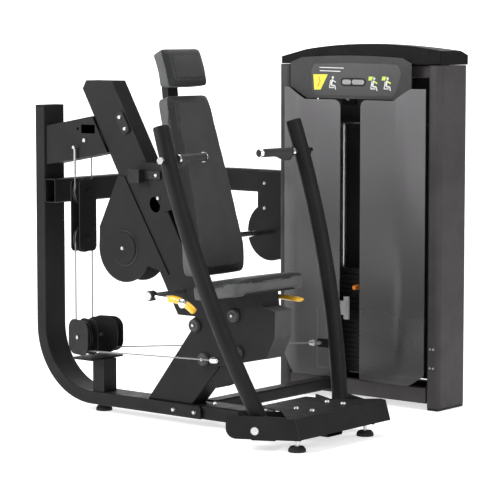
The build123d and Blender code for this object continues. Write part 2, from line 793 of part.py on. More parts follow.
with BuildPart() as tube_pulley:
    pulley(tube_plane, tube_groove, axle + running_gap)
with BuildPart() as tower_pulley_low:
    pulley(low_plane, tube_groove, axle + running_gap)
with BuildPart() as tower_pulley_top:
    pulley(top_plane, drive_groove, axle + running_gap)
with BuildPart() as cross_shaft:
    rod((-beam_width / 2 - 4, *shaft_at), (tower_x + 38, *shaft_at), shaft_radius)
with BuildPart() as cable_wheels:
    pulley(drive_plane, drive_groove, shaft_radius + 0.02, wheel_width)
    pulley(out_plane, out_groove, shaft_radius + 0.02, wheel_width)

over, into = tangent(tube_pulley_at, tube_groove, shaft_at, drive_groove, -1)
over_angle = heading(over - Vector(*tube_pulley_at))
into_angle = heading(into - Vector(*shaft_at))
with BuildPart() as frame_cables:
    rod((strand_x[1], block_at[1], sleeve_end), (strand_x[1], *(tube_pulley_at[0] + tube_groove,
                                                                 tube_pulley_at[1])), cable_radius)
    wrap(tube_plane, tube_groove, 0, over_angle % 360)
    rod((strand_x[1], over.X, over.Y), (strand_x[1], into.X, into.Y), cable_radius)
    wrap(drive_plane, drive_groove, into_angle, 200)
    wrap(out_plane, out_groove, 90, -250)
    rod((tower_x, shaft_at[0], shaft_at[1] + out_groove),
        (tower_x, low_at[0], low_at[1] - tube_groove), cable_radius)
    wrap(low_plane, tube_groove, 270, -90)
    rod((tower_x, low_at[0] - tube_groove, low_at[1]), (tower_x, low_at[0] - tube_groove,
                                                        top_at[1]), cable_radius)
    wrap(top_plane, drive_groove, 0, 180)

# ---------------------------------------------------------------- weight tower
tower_mid = (tower_near + tower_far) / 2
post_at = (tower_front + post_thick / 2, tower_back - post_thick / 2)
with BuildPart() as tower_posts:
    for y in post_at:
        with BuildSketch(Plane.XY.offset(foot_low)):
            with Locations((tower_mid, y)):
                RectangleRounded(tower_far - tower_near, post_thick, 24)
                RectangleRounded(tower_far - tower_near - 6, post_thick - 6, 21,
                                 mode=Mode.SUBTRACT)
        extrude(amount=tower_top - foot_low)
    with Locations((tower_x, post_at[1], shaft_at[1] + out_groove)):
        Box(30, post_thick + 10, 40, mode=Mode.SUBTRACT)

inner = (tower_front + post_thick, tower_back - post_thick)
with BuildPart() as tower_rails:
    mid_y, long_y = (inner[0] + inner[1]) / 2, inner[1] - inner[0]
    with Locations((tower_mid, mid_y, base_low + 4)):
        Box(tower_far - tower_near - 8, long_y, 8)
    with Locations((tower_near + 24, mid_y, (base_low + 8 + base_high) / 2),
                   (tower_far - 24, mid_y, (base_low + 8 + base_high) / 2)):
        Box(40, long_y, base_high - base_low - 8)
    with BuildSketch(Plane.XZ.offset(-inner[1])):
        with Locations((tower_x, tower_top - 26)):
            RectangleRounded(120, 52, 6)
            RectangleRounded(112, 44, 3, mode=Mode.SUBTRACT)
    extrude(amount=long_y)
    with Locations((tower_far - 6, mid_y, 736)):
        Box(3, long_y, 1280)
    # plate that holds the rods' upper ends, with slots for the two runs of cable
    with BuildSketch(Plane.XY.offset(rod_top)):
        with Locations((tower_x, mid_y)):
            Rectangle(90, long_y)
        with Locations((tower_x, stack_at[1]), (tower_x, stack_at[1] + 2 * drive_groove)):
            SlotOverall(36, 20, rotation=90, mode=Mode.SUBTRACT)
    extrude(amount=8)


def hood(inset):
    """The arched hood as a solid, drawn inset from its skin."""
    low = tower_top + 2 - (5 if inset else 0)
    with BuildPart() as shape:
        with BuildSketch(yz(tower_near + 8 + inset)):
            with BuildLine():
                Polyline((tower_front + 3 + inset, low), (tower_front + 3 + inset, 1492 - inset))
                ThreePointArc((tower_front + 3 + inset, 1492 - inset),
                              ((tower_front + 806) / 2, tower_arch - inset), (806, 1496 - inset))
                Polyline((806, 1496 - inset), (tower_back - 8 - inset, 1465 - inset),
                         (tower_back - 8 - inset, low), (tower_front + 3 + inset, low))
            make_face()
        extrude(amount=tower_far - tower_near - 8 - 2 * inset)
        with BuildSketch(Plane.XZ):
            with BuildLine():
                Polyline((tower_near + 70, 1560), (tower_near + 70, tower_arch - inset),
                         (tower_far, 1474 - inset), (tower_far + 10, 1474 - inset),
                         (tower_far + 10, 1560), close=True)
            make_face()
        extrude(amount=-1000, mode=Mode.SUBTRACT)
    return shape.part


with BuildPart() as tower_crown:
    add(hood(0))
    fillet(tower_crown.faces().sort_by(Axis.X)[0].edges().filter_by(GeomType.LINE), 5)
    add(hood(4), mode=Mode.SUBTRACT)

panel = 4
with BuildPart() as shroud_panels:
    for plan, corner in ((((829, 909), (812, 850), (836, 615)), ((920, 190), (849, 94))),
                         (((829, 171), (812, 288), (836, 508)), ((165, 144), (242, 94)))):
        with BuildSketch(Plane.XY.offset(96)):
            with BuildLine() as fold:
                Polyline(*plan)
            trace(fold.line, line_width=panel)
        extrude(amount=1188)
        with BuildSketch(yz(800)):
            with BuildLine():
                Polyline(corner[0], corner[1], (corner[0][0], corner[1][1]), close=True)
            make_face()
        extrude(amount=50, mode=Mode.SUBTRACT)

with BuildPart() as placard:
    with BuildSketch(yz(tower_near)):
        with BuildLine():
            Polyline((325, 1288), (793, 1288), (880, 1337), (880, 1440), (820, 1461))
            ThreePointArc((820, 1461), (560, 1470), (290, 1461))
            Polyline((290, 1461), (245, 1440), (245, 1337), (325, 1288))
        make_face()
    extrude(amount=4)

with BuildPart() as guide_rods:
    for y in (stack_at[1] - rod_spacing / 2, stack_at[1] + rod_spacing / 2):
        rod((tower_x, y, base_low + 8), (tower_x, y, rod_top), rod_radius)


def weight(z, thick):
    """One plate of the stack, with its holes for the guide rods and the selector rod."""
    with BuildSketch(Plane.XY.offset(z)) as plate:
        with Locations(stack_at):
            RectangleRounded(stack_width, stack_length, 9)
            with GridLocations(0, rod_spacing, 1, 2):
                Circle(rod_radius + 1, mode=Mode.SUBTRACT)
            Circle(selector_radius + 1, mode=Mode.SUBTRACT)
    extrude(plate.sketch, amount=thick)


lifted_z = plate_low_z + plates_fixed * plate_pitch
head_z = lifted_z + plates_lifted * plate_pitch
pin_z = lifted_z + (plate_pitch - 2) / 2
with BuildPart() as stack_plates:
    for i in range(plates_fixed):
        weight(plate_low_z + i * plate_pitch, plate_pitch - 2)
with BuildPart() as lifted_plates:
    for i in range(plates_lifted):
        weight(lifted_z + i * plate_pitch, plate_pitch - 2)
    with BuildSketch(Plane.XY.offset(head_z)):
        with Locations(stack_at):
            RectangleRounded(stack_width - 10, stack_length, 9)
            with GridLocations(0, rod_spacing, 1, 2):
                Circle(rod_radius + 1, mode=Mode.SUBTRACT)
    extrude(amount=head_height)
    with BuildSketch(Plane(origin=(880, stack_at[1], pin_z), z_dir=(1, 0, 0))):
        Circle(4 + running_gap)
    extrude(amount=52, mode=Mode.SUBTRACT)
with BuildPart() as selector_rod:
    rod((tower_x, stack_at[1], plate_low_z + 8), (tower_x, stack_at[1], head_z), selector_radius)
with BuildPart() as selector_pin:
    rod((878, stack_at[1], pin_z), (tower_x - 12, stack_at[1], pin_z), 4)
    with BuildSketch(Plane(origin=(884, stack_at[1], pin_z), z_dir=(-1, 0, 0))):
        Circle(12)
    extrude(amount=26, taper=6)
with BuildPart() as stack_cable:
    rod((tower_x, stack_at[1], head_z + head_height + 0.4), (tower_x, stack_at[1],
                                                            top_at[1] - 0.4), cable_radius)

with BuildPart() as pin_holder:
    with Locations((847, 586, 396)):
        Box(11, 24, 97)
    with Locations((840.5, 604, 396)):
        Box(3, 44, 60)

# ---------------------------------------------------------------- guards and housings
cap_radius = 72
with BuildPart() as guard_plates:
    for x in (-beam_width / 2 - guard_sheet, 54):
        with BuildSketch(yz(x)):
            with Locations(shaft_at):
                Circle(guard_radius)
            with BuildLine():
                Polyline((beam_back(985) - 34, 985), (beam_back(985), 985), (1188, 772),
                         (1188, 690), (beam_back(600) - 50, 600), close=True)
            make_face()
            with Locations(shaft_at):
                Circle(shaft_radius + running_gap, mode=Mode.SUBTRACT)
        extrude(amount=guard_sheet)
    with BuildSketch(Plane(origin=(-beam_width / 2 - guard_sheet, *shaft_at), z_dir=(-1, 0, 0))):
        Circle(cap_radius)
    extrude(amount=9, taper=35)
    for place in ((beam_back(940) - 30, 940), (beam_back(640) - 24, 640)):
        with BuildSketch(yz(beam_width / 2)):
            with Locations(place):
                Circle(12)
        extrude(amount=14)
    for x in (904, 964):
        with BuildSketch(yz(x)):
            with Locations(shaft_at):
                Circle(guard_radius - 12)
            with Locations((1034, 829)):
                Rectangle(176, 258)
            with Locations(shaft_at):
                Circle(shaft_radius + running_gap, mode=Mode.SUBTRACT)
            with Locations((tower_back - 100, shaft_at[1])):
                Rectangle(200.6, 600, mode=Mode.SUBTRACT)
        extrude(amount=6)

with BuildPart() as pulley_housings:
    for local in (-26, 22):
        with BuildSketch(rear_plane.offset(local)):
            RectangleRounded(150, 146, 45)
            Circle(axle, mode=Mode.SUBTRACT)
        extrude(amount=4)
    mirror(about=Plane.YZ.offset(block_at[0]))
    with Locations((block_at[0], 1196, 153)):
        Box(76, 62, 136)
    with Locations((block_at[0], 1236, 224)):
        Box(190, 112, 8)
    for x in (-20, 16):
        with BuildSketch(yz(tower_x + x)):
            with BuildLine():
                Polyline((744, low_at[1] + 26), (inner[1], low_at[1] + 40),
                         (inner[1], low_at[1] - 40), (744, low_at[1] - 26), close=True)
            make_face()
            with Locations(low_at):
                Circle(axle, mode=Mode.SUBTRACT)
        extrude(amount=4)
        with BuildSketch(yz(tower_x + x)):
            with Locations((top_at[0], 1320)):
                Rectangle(70, 120)
            with Locations(top_at):
                Circle(axle, mode=Mode.SUBTRACT)
        extrude(amount=4)

# ---------------------------------------------------------------- feet, caps and fasteners
with BuildPart() as foot_pads:
    for x, y in ((-foot_at[0], foot_at[1]), (foot_at[0], foot_at[1]), (0, 1211)):
        with BuildSketch(Plane.XY):
            with Locations((x, y)):
                Circle(foot_pad_radius)
        extrude(amount=10)
        with BuildSketch(Plane.XY.offset(10)):
            with Locations((x, y)):
                Circle(foot_pad_radius)
        extrude(amount=10, taper=35)
    for y in post_at:
        with BuildSketch(Plane.XY):
            with Locations((tower_mid, y)):
                Rectangle(tower_far - tower_near - 20, post_thick - 12)
        extrude(amount=foot_low)

with BuildPart() as rubber_parts:
    with BuildSketch(Plane.XY.offset(upright_top)):
        with Locations((0, rail_mid)):
            RectangleRounded(rail_width, rail_depth, 6)
    extrude(amount=4)
    for y in (stack_at[1] - rod_spacing / 2, stack_at[1] + rod_spacing / 2):
        with BuildSketch(Plane.XY.offset(base_low + 8)):
            with Locations((tower_x, y)):
                Circle(26)
                Circle(rod_radius, mode=Mode.SUBTRACT)
        extrude(amount=plate_low_z - base_low - 8.4)

pin_half = plate_in + plate_thick
with BuildPart() as frame_bolts:
    for x in (-1, 1):
        across = Vector(x * inward.X, inward.Y, 0)
        at = Vector(x * right_pivot.X, right_pivot.Y, right_pivot.Z)
        rod(at - across * (pin_half + 4), at + across * (pin_half + 4), pivot_bore)
        for face in (-1, 1):
            with BuildSketch(Plane(origin=at + across * face * pin_half, z_dir=across * face)):
                Circle(17)
            extrude(amount=6, taper=20)
        rod((x * foot_at[0], foot_at[1], 20),
            (x * foot_at[0], foot_at[1], foot_top - foot_sheet), 8)
        for y in ((660, 770) if x < 0 else (770,)):
            bolt(Plane(origin=(x * (rail_width / 2 + 5), y, rail_line), z_dir=(x, 0, 0)))
    rod((0, 1211, 20), (0, 1211, rail_ground), 8)
    for x, y in ((-97, 116), (-99, 38), (98, 117), (102, 42)):
        bolt(Plane.XY.offset(foot_top).move(Location((x, y, 0))), head=11)
    for z in (976, 828):
        bolt(Plane(origin=(0, rail_back, z), z_dir=(0, 1, 0)), head=11)
    for y in (345, 605):
        bolt(Plane.XY.offset(rail_ground + rail_depth + 5).move(Location((0, y, 0))))
    # axles
    rod((-tube_width / 2 - 6, *tube_pulley_at), (tube_width / 2 + 6, *tube_pulley_at), axle)
    for place in (low_plane, top_plane):
        rod(place.origin - Vector(26, 0, 0), place.origin + Vector(26, 0, 0), axle)
    for place in (rear_plane, left_plane):
        rod(place.origin - place.z_dir * 32, place.origin + place.z_dir * 32, axle)
    # fitting of the fixed strand, and the start lever's shaft
    rod((-tube_width / 2, block_at[1], 1095), (-tube_width / 2 - 22, block_at[1], 1095), 7)
    rod((strand_x[0], block_at[1], 1100), (strand_x[0], block_at[1], sleeve_end), 5)
    rod((-beam_width / 2, *start_at), (-start_x - 16, *start_at), start_shaft)
    rod((-start_x - 14.4, *start_at), (-start_x - 20, *start_at), 16)
    rod((-start_x + 14.4, *start_at), (-start_x + 22, *start_at), 16)
    # two-bolt fixings on the beam, the guards and the tower
    for y, z in ((1067, 1225), (1038, 1179)):
        bolt(Plane(origin=(-beam_width / 2 - 10, y, z), z_dir=(-1, 0, 0)))
    for x, y, z in ((-beam_width / 2 - 14, 866, 997), (-beam_width / 2 - 6, 862, 905)):
        bolt(Plane(origin=(x, y, z), z_dir=(-1, 0, 0)))
    for y, z in ((1080, 905), (1080, 795)):
        bolt(Plane(origin=(904, y, z), z_dir=(-1, 0, 0)))
    bolt(Plane(origin=(-beam_width / 2 - guard_sheet - 9, *shaft_at), z_dir=(-1, 0, 0)))
    for y, z in ((126, 180), (142, 180), (126, 260), (142, 260)):
        bolt(Plane(origin=(tower_near, y, z), z_dir=(-1, 0, 0)), head=5, height=3)

# ---------------------------------------------------------------- one shared origin
pieces = {
    "main_rail": main_rail, "front_stub": front_stub, "joint_plates": joint_plates,
    "rear_arm_tube": rear_arm_tube, "back_beam": back_beam, "seat_strut": seat_strut,
    "seat_post": seat_post, "cross_beams": cross_beams,
    "foot_plate": foot_plate, "pivot_plates": pivot_plates, "foot_pads": foot_pads,
    "frame_bolts": frame_bolts, "rubber_parts": rubber_parts, "guard_plates": guard_plates,
    "pulley_housings": pulley_housings, "back_frame": back_frame, "back_pad": back_pad,
    "head_pad": head_pad, "arm_stops": arm_stops, "frame_cables": frame_cables,
    "upper_strands": upper_strands, "lower_strands": lower_strands,
    "stack_cable": stack_cable, "right_arm_cable": right_arm_cable,
    "left_arm_cable": left_arm_cable, "tower_posts": tower_posts, "tower_rails": tower_rails,
    "tower_crown": tower_crown, "shroud_panels": shroud_panels, "placard": placard,
    "guide_rods": guide_rods, "stack_plates": stack_plates, "pin_holder": pin_holder,
    "right_arm": right_arm, "right_grip": right_grip, "right_trim": right_trim,
    "left_arm": left_arm, "left_grip": left_grip, "left_trim": left_trim,
    "right_cable_end": right_cable_end, "left_cable_end": left_cable_end,
    "right_rear_pulley": right_rear_pulley, "left_rear_pulley": left_rear_pulley,
    "block_cheeks": block_cheeks, "block_upper_pulley": block_upper_pulley,
    "block_lower_pulley": block_lower_pulley, "block_cable": block_cable,
    "tube_pulley": tube_pulley, "cross_shaft": cross_shaft, "cable_wheels": cable_wheels,
    "tower_pulley_low": tower_pulley_low, "tower_pulley_top": tower_pulley_top,
    "lifted_plates": lifted_plates, "selector_rod": selector_rod,
    "selector_pin": selector_pin, "seat_carriage": seat_carriage,
    "seat_rollers": seat_rollers, "seat_pad": seat_pad, "seat_lever": seat_lever,
    "start_lever": start_lever,
}
extent = Compound([piece.part for piece in pieces.values()]).bounding_box()
middle = extent.center()
shift = Location((-middle.X, -middle.Y, 0))
for name, piece in pieces.items():
    moved = piece.part.moved(shift)
    moved.label = name
    export_step(moved, f"parts/{name}.step")
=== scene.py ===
# %% [markdown]
# # A chest press machine with a weight stack
#
# The steel of this machine was drawn in a CAD program and arrives here as a fixed frame.
# Blender gives it what the CAD program can't: powder coat, chrome, smoked plastic and
# vinyl, stuffed pads made by a cloth simulation, and the small moulded pieces.

# %% Load the frame
from math import cos, pi, radians, sin

import bmesh
import bpy
import numpy as np
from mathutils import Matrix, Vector
from mathutils.bvhtree import BVHTree


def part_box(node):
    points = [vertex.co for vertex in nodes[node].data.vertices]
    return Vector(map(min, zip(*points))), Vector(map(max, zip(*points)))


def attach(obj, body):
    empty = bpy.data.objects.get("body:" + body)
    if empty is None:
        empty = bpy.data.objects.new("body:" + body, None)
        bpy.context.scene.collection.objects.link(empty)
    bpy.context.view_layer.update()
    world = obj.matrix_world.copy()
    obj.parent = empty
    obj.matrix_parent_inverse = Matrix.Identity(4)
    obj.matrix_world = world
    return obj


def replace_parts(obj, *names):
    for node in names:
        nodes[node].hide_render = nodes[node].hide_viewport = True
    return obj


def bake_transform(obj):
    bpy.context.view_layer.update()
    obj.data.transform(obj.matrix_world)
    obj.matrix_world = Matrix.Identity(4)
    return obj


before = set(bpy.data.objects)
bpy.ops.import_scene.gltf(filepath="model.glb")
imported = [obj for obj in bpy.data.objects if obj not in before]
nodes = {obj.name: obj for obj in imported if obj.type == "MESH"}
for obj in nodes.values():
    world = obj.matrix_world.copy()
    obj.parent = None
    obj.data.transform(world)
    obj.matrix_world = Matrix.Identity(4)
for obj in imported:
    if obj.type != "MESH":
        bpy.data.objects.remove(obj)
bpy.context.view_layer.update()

# %% [markdown]
# The machine was laid out from its own landmarks: the middle of the floor rail, and the
# line between its two front feet. One small function turns such a place, in metres, into
# the frame's own coordinates, so that every later cell can speak in the machine's terms.

# %% Places on the machine
rail_low, rail_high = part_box("main_rail")
middle_x = (rail_low.x + rail_high.x) / 2
front_y = rail_high.y - 1.541


def at(x, y, z):
    """A place given from the machine's middle line, its front feet and the floor."""
    return np.array([x + middle_x, y + front_y, z])


print("front feet at", at(0, 0, 0).round(4))

# %% [markdown]
# The camera stands far away with a long lens, as for a catalogue. The floor and the
# backdrop are white paper with a glow of their own, and three large soft lamps shape the
# dark steel: one from the left for the pads' edges, one from the right for the tower, and
# one from above.

# %% Camera, floor and lights
camera = bpy.data.objects.new("catalogue_camera", bpy.data.cameras.new("catalogue_camera"))
camera.location = at(-6.7012, -5.0657, 1.5831)
camera_turn, camera_dip = radians(50.67), radians(5.69)
camera.rotation_euler = (pi / 2 - camera_dip, 0, -camera_turn)
camera.data.lens = 160
camera.data.sensor_width = 36
camera.data.clip_end = 250
bpy.context.scene.collection.objects.link(camera)
bpy.context.scene.camera = camera

world = bpy.data.worlds.new("studio")
world.use_nodes = True
world.node_tree.nodes["Background"].inputs["Color"].default_value = (1, 1, 1, 1)
world.node_tree.nodes["Background"].inputs["Strength"].default_value = 0.30
bpy.context.scene.world = world
bpy.context.scene.view_settings.view_transform = "Standard"



def paper(name, corners, glow):
    """A flat white sheet of the studio, with a glow of its own."""
    material = bpy.data.materials.new(name)
    material.use_nodes = True
    shader = material.node_tree.nodes["Principled BSDF"]
    shader.inputs["Base Color"].default_value = (0.9, 0.9, 0.9, 1)
    shader.inputs["Roughness"].default_value = 0.9
    shader.inputs["Specular IOR Level"].default_value = 0.0
    shader.inputs["Emission Color"].default_value = (1, 1, 1, 1)
    shader.inputs["Emission Strength"].default_value = glow
    mesh = bpy.data.meshes.new(name)
    mesh.from_pydata([tuple(map(float, corner)) for corner in corners], [], [(0, 1, 2, 3)])
    mesh.materials.append(material)
    made = bpy.data.objects.new(name, mesh)
    bpy.context.scene.collection.objects.link(made)


floor_reach = 90
corners = [(-1, -1, 0), (1, -1, 0), (1, 1, 0), (-1, 1, 0)]
paper("floor", np.array(corners) * floor_reach, 0.62)
view = np.array([sin(camera_turn), cos(camera_turn), 0])
across = np.array([view[1], -view[0], 0])
wall_far = 9
foot = at(0, 0, -0.1) + view * wall_far
half, rise = wall_far * across, np.array([0, 0, float(wall_far)])
paper("backdrop", [foot - half, foot + half, foot + half + rise, foot - half + rise], 0.75)


def lamp(name, place, aim, size, power):
    """A large soft lamp that looks from one place towards another."""
    light = bpy.data.lights.new(name, "AREA")
    light.shape = "RECTANGLE"
    light.size, light.size_y = size
    light.energy = power
    thing = bpy.data.objects.new(name, light)
    thing.location = place
    thing.rotation_euler = Vector(aim - place).to_track_quat("-Z", "Y").to_euler()
    bpy.context.scene.collection.objects.link(thing)
    return thing


lamp("left_softbox", at(-3.4, 3.0, 2.6), at(0, 0.7, 0.8), (2.0, 2.6), 150)
lamp("right_softbox", at(-0.6, -4.4, 2.6), at(0.7, 0.5, 0.9), (1.8, 2.2), 70)
lamp("top_softbox", at(0.2, 0.5, 4.2), at(0.3, 0.7, 0.6), (3.0, 3.0), 85)
print("camera", [round(v, 3) for v in camera.location], "papers 2, lamps 3")

# %% [markdown]
# Every finish is a small recipe of nodes over the Principled shader. The patterns read
# Object coordinates, which are metres in this scene, so a grain of a millimetre is a noise
# of scale 1000. Constant numbers are set on the shader itself; only patterns are linked.

# %% The recipe shared by all finishes
materials = {}


class Finish:
    """One procedural material: a Principled shader with patterns linked into it."""

    def __init__(self, name, colour, roughness, metallic=0.0, **settings):
        self.material = bpy.data.materials.new(name)
        self.material.use_nodes = True
        self.tree = self.material.node_tree
        self.shader = self.tree.nodes["Principled BSDF"]
        self.shader.inputs["Base Color"].default_value = (*colour, 1)
        self.shader.inputs["Roughness"].default_value = roughness
        self.shader.inputs["Metallic"].default_value = metallic
        for setting, value in settings.items():
            self.shader.inputs[setting.replace("_", " ")].default_value = value
        self.place = self.tree.nodes.new("ShaderNodeTexCoord")
        materials[name] = self.material

    def node(self, kind, **settings):
        """A new node, with its properties and input values set by name."""
        made = self.tree.nodes.new(kind)
        for key, value in settings.items():
            if hasattr(made, key):
                setattr(made, key, value)
            else:
                made.inputs[key.replace("_", " ")].default_value = value
        return made

    def link(self, source, target):
        """Joins an output to an input."""
        self.tree.links.new(source, target)

    def noise(self, scale, detail=4.0, roughness=0.55, stretch=(1, 1, 1)):
        """A noise pattern in metres, stretched along the axes."""
        turn = self.node("ShaderNodeMapping")
        turn.inputs["Scale"].default_value = stretch
        self.link(self.place.outputs["Object"], turn.inputs["Vector"])
        pattern = self.node("ShaderNodeTexNoise", Scale=scale, Detail=detail, Roughness=roughness)
        self.link(turn.outputs["Vector"], pattern.inputs["Vector"])
        return pattern.outputs["Fac"]

    def ramp(self, factor, low, high, start=0.35, end=0.65):
        """Colours from low to high as the pattern goes from start to end."""
        band = self.node("ShaderNodeValToRGB")
        band.color_ramp.elements[0].position = start
        band.color_ramp.elements[1].position = end
        band.color_ramp.elements[0].color = (*low, 1)
        band.color_ramp.elements[1].color = (*high, 1)
        self.link(factor, band.inputs["Fac"])
        return band.outputs["Color"]

    def colour(self, factor, low, high, start=0.35, end=0.65):
        """Varies the surface's colour with a pattern."""
        self.link(self.ramp(factor, low, high, start, end), self.shader.inputs["Base Color"])

    def rough(self, factor, low, high):
        """Varies the roughness with a pattern."""
        band = self.node("ShaderNodeMapRange", From_Min=0.3, From_Max=0.7, To_Min=low, To_Max=high)
        self.link(factor, band.inputs["Value"])
        self.link(band.outputs["Result"], self.shader.inputs["Roughness"])

    def bump(self, factor, depth, strength=1.0, after=None):
        """Raises the surface by a pattern, in metres, over an earlier bump."""
        raised = self.node("ShaderNodeBump", Strength=strength, Distance=depth)
        self.link(factor, raised.inputs["Height"])
        if after:
            self.link(after, raised.inputs["Normal"])
        self.link(raised.outputs["Normal"], self.shader.inputs["Normal"])
        return raised.outputs["Normal"]


print("the recipe is ready")

# %% [markdown]
# Powder coat is paint baked from powder: matte, with a fine pebbled skin. It varies a
# little in tone over a hand's width, and its gloss changes where hands and cloths rub it.

# %% Powder coat for the frame and the tower


def powder_coat(name, colour, shine=0.17, grain=0.00016):
    """Matte baked paint with a pebbled skin and slow changes of tone."""
    coat = Finish(name, colour, 0.5, IOR=1.48, Specular_IOR_Level=shine)
    dark = [c * 0.86 for c in colour]
    light = [c * 1.16 for c in colour]
    coat.colour(coat.noise(7, 5), dark, light)
    coat.rough(coat.noise(22, 6), 0.42, 0.58)
    skin = coat.bump(coat.noise(1100, 3, 0.6), grain, 0.8)
    coat.bump(coat.noise(260, 2), grain * 0.8, 0.4, skin)
    return coat.material


powder_coat("frame_powder_coat", (0.0125, 0.0125, 0.0130))
powder_coat("tower_powder_coat", (0.050, 0.0455, 0.0480), 0.22)
powder_coat("crown_powder_coat", (0.0060, 0.0060, 0.0063), 0.10)
powder_coat("cap_paint", (0.055, 0.055, 0.056), 0.3)
powder_coat("stack_paint", (0.012, 0.012, 0.013))
print("powder coats made")

# %% [markdown]
# Bright metal comes in two kinds here. Chrome is a mirror with faint wipe marks, and the
# zinc of bolts and washers is duller, with a crystalline bloom.

# %% Chrome and zinc
chrome = Finish("polished_chrome", (0.82, 0.82, 0.84), 0.09, 1.0)
chrome.rough(chrome.noise(60, 5, stretch=(1, 1, 0.2)), 0.05, 0.17)
zinc = Finish("zinc_plate", (0.62, 0.63, 0.65), 0.32, 1.0)
zinc.colour(zinc.noise(240, 4), (0.50, 0.51, 0.53), (0.70, 0.71, 0.73))
zinc.rough(zinc.noise(320, 3), 0.24, 0.42)
steel = Finish("ground_steel", (0.86, 0.86, 0.87), 0.30, 1.0)
steel.rough(steel.noise(90, 4, stretch=(1, 1, 0.05)), 0.24, 0.36)
wire = Finish("coated_wire", (0.20, 0.20, 0.205), 0.30, Coat_Weight=0.6, Coat_Roughness=0.18)
wire.bump(wire.noise(900, 1, stretch=(1, 1, 0.25)), 0.00012, 0.5)
print("bright metals made")

# %% [markdown]
# Rubber is nearly black and never shines; moulded nylon has a faint orange peel; the
# levers are a glossy yellow plastic, and the pin's knob is orange.

# %% Rubber and moulded plastics


def moulded(name, colour, roughness, peel=0.00012, coat=0.0):
    """Moulded plastic with a soft orange peel."""
    plastic = Finish(name, colour, roughness, IOR=1.5, Coat_Weight=coat, Coat_Roughness=0.1)
    plastic.colour(plastic.noise(30, 3), [c * 0.92 for c in colour], [c * 1.06 for c in colour])
    plastic.rough(plastic.noise(80, 4), roughness * 0.85, roughness * 1.15)
    plastic.bump(plastic.noise(420, 2), peel, 0.5)
    return plastic.material


moulded("foot_rubber", (0.010, 0.010, 0.010), 0.78, 0.0003)
moulded("grip_rubber", (0.022, 0.022, 0.023), 0.62, 0.0003)
moulded("pulley_nylon", (0.018, 0.018, 0.019), 0.42)
moulded("lever_yellow", (0.93, 0.50, 0.02), 0.26, coat=0.5)
moulded("pin_orange", (0.90, 0.26, 0.02), 0.28, coat=0.5)
moulded("grey_moulding", (0.33, 0.33, 0.34), 0.45)
moulded("placard_film", (0.014, 0.014, 0.0145), 0.5)
moulded("placard_screen", (0.030, 0.030, 0.031), 0.36)
moulded("print_white", (0.80, 0.80, 0.80), 0.45)
moulded("print_yellow", (0.90, 0.78, 0.05), 0.45)
moulded("print_green", (0.62, 0.85, 0.10), 0.45)
print("plastics made")

# %% [markdown]
# The tower's covers are smoked sheet: dark, glossy, and a little see-through, so the chrome rods
# behind them show as pale lines. Their grey is painted paler with height, between 0.25 m and 1 m above
# the floor: painted light on the upper covers and painted shade low down.

# %% Smoked sheet
smoked = Finish("smoked_sheet", (0.10, 0.10, 0.10), 0.24, IOR=1.5, Alpha=0.86)
height = smoked.node("ShaderNodeSeparateXYZ")
smoked.link(smoked.place.outputs["Object"], height.inputs["Vector"])
# Painted light and shade: the sheet's colour runs from dark at 0.25 m to pale at 1 m above the floor.
smoked.colour(height.outputs["Z"], (0.052, 0.050, 0.052), (0.165, 0.160, 0.165), 0.25, 1.0)
print("smoked sheet made")

# %% [markdown]
# Gym vinyl is a thick coated cloth pressed with a leather grain. Cells of a Voronoi
# pattern give the grain's islands, and two noises give its creases and its slow tone.

# %% Vinyl for the pads


def vinyl(name, colour):
    """Grained vinyl: pebble cells, fine creases and a little sheen."""
    cover = Finish(name, colour, 0.5, IOR=1.47, Sheen_Weight=0.06, Sheen_Roughness=0.4,
                   Specular_IOR_Level=0.24)
    cover.colour(cover.noise(9, 5), [c * 0.9 for c in colour], [c * 1.12 for c in colour])
    cover.rough(cover.noise(120, 4), 0.44, 0.58)
    cells = cover.node("ShaderNodeTexVoronoi", feature="DISTANCE_TO_EDGE", Scale=620.0)
    cover.link(cover.place.outputs["Object"], cells.inputs["Vector"])
    islands = cover.bump(cells.outputs["Distance"], 0.0005, 0.5)
    cover.bump(cover.noise(1500, 3), 0.00012, 0.5, islands)
    return cover.material


vinyl("pad_vinyl", (0.045, 0.0455, 0.0465))
# Two copies of the same vinyl: a lighter one as painted light on the pads' sides, and a darker one as
# painted shade on their bevels.
vinyl("pad_vinyl_painted_light", (0.085, 0.086, 0.088))
vinyl("pad_vinyl_painted_shade", (0.022, 0.0225, 0.023))
print("vinyl made")

# %% Give every CAD node its finish
finish_of = {
    "frame_powder_coat": ["main_rail", "front_stub", "joint_plates", "rear_arm_tube", "back_beam",
                          "seat_strut", "seat_post", "cross_beams", "foot_plate", "pivot_plates",
                          "guard_plates", "pulley_housings", "back_frame", "right_arm", "left_arm",
                          "block_cheeks", "seat_carriage"],
    "tower_powder_coat": ["tower_posts", "tower_rails"],
    "crown_powder_coat": ["tower_crown"],
    "stack_paint": ["stack_plates", "lifted_plates"],
    "ground_steel": ["guide_rods"],
    "polished_chrome": ["cross_shaft", "selector_rod", "right_trim", "left_trim"],
    "zinc_plate": ["frame_bolts", "right_cable_end", "left_cable_end"],
    "coated_wire": ["frame_cables", "upper_strands", "lower_strands", "block_cable",
                    "stack_cable", "right_arm_cable", "left_arm_cable"],
    "foot_rubber": ["foot_pads", "rubber_parts", "arm_stops"],
    "grip_rubber": ["right_grip", "left_grip"],
    "pulley_nylon": ["right_rear_pulley", "left_rear_pulley", "block_upper_pulley",
                     "block_lower_pulley", "tube_pulley", "cable_wheels", "tower_pulley_low",
                     "tower_pulley_top", "seat_rollers"],
    "lever_yellow": ["seat_lever", "start_lever"],
    "pin_orange": ["selector_pin"],
    "grey_moulding": ["pin_holder"],
    "placard_film": ["placard"],
    "smoked_sheet": ["shroud_panels"],
    "pad_vinyl": ["back_pad", "head_pad", "seat_pad"],
}
for finish, names in finish_of.items():
    for name in names:
        nodes[name].data.materials.clear()
        nodes[name].data.materials.append(materials[finish])
left_out = sorted(set(nodes) - {name for names in finish_of.values() for name in names})
print("finished nodes", sum(map(len, finish_of.values())), "left out", left_out)

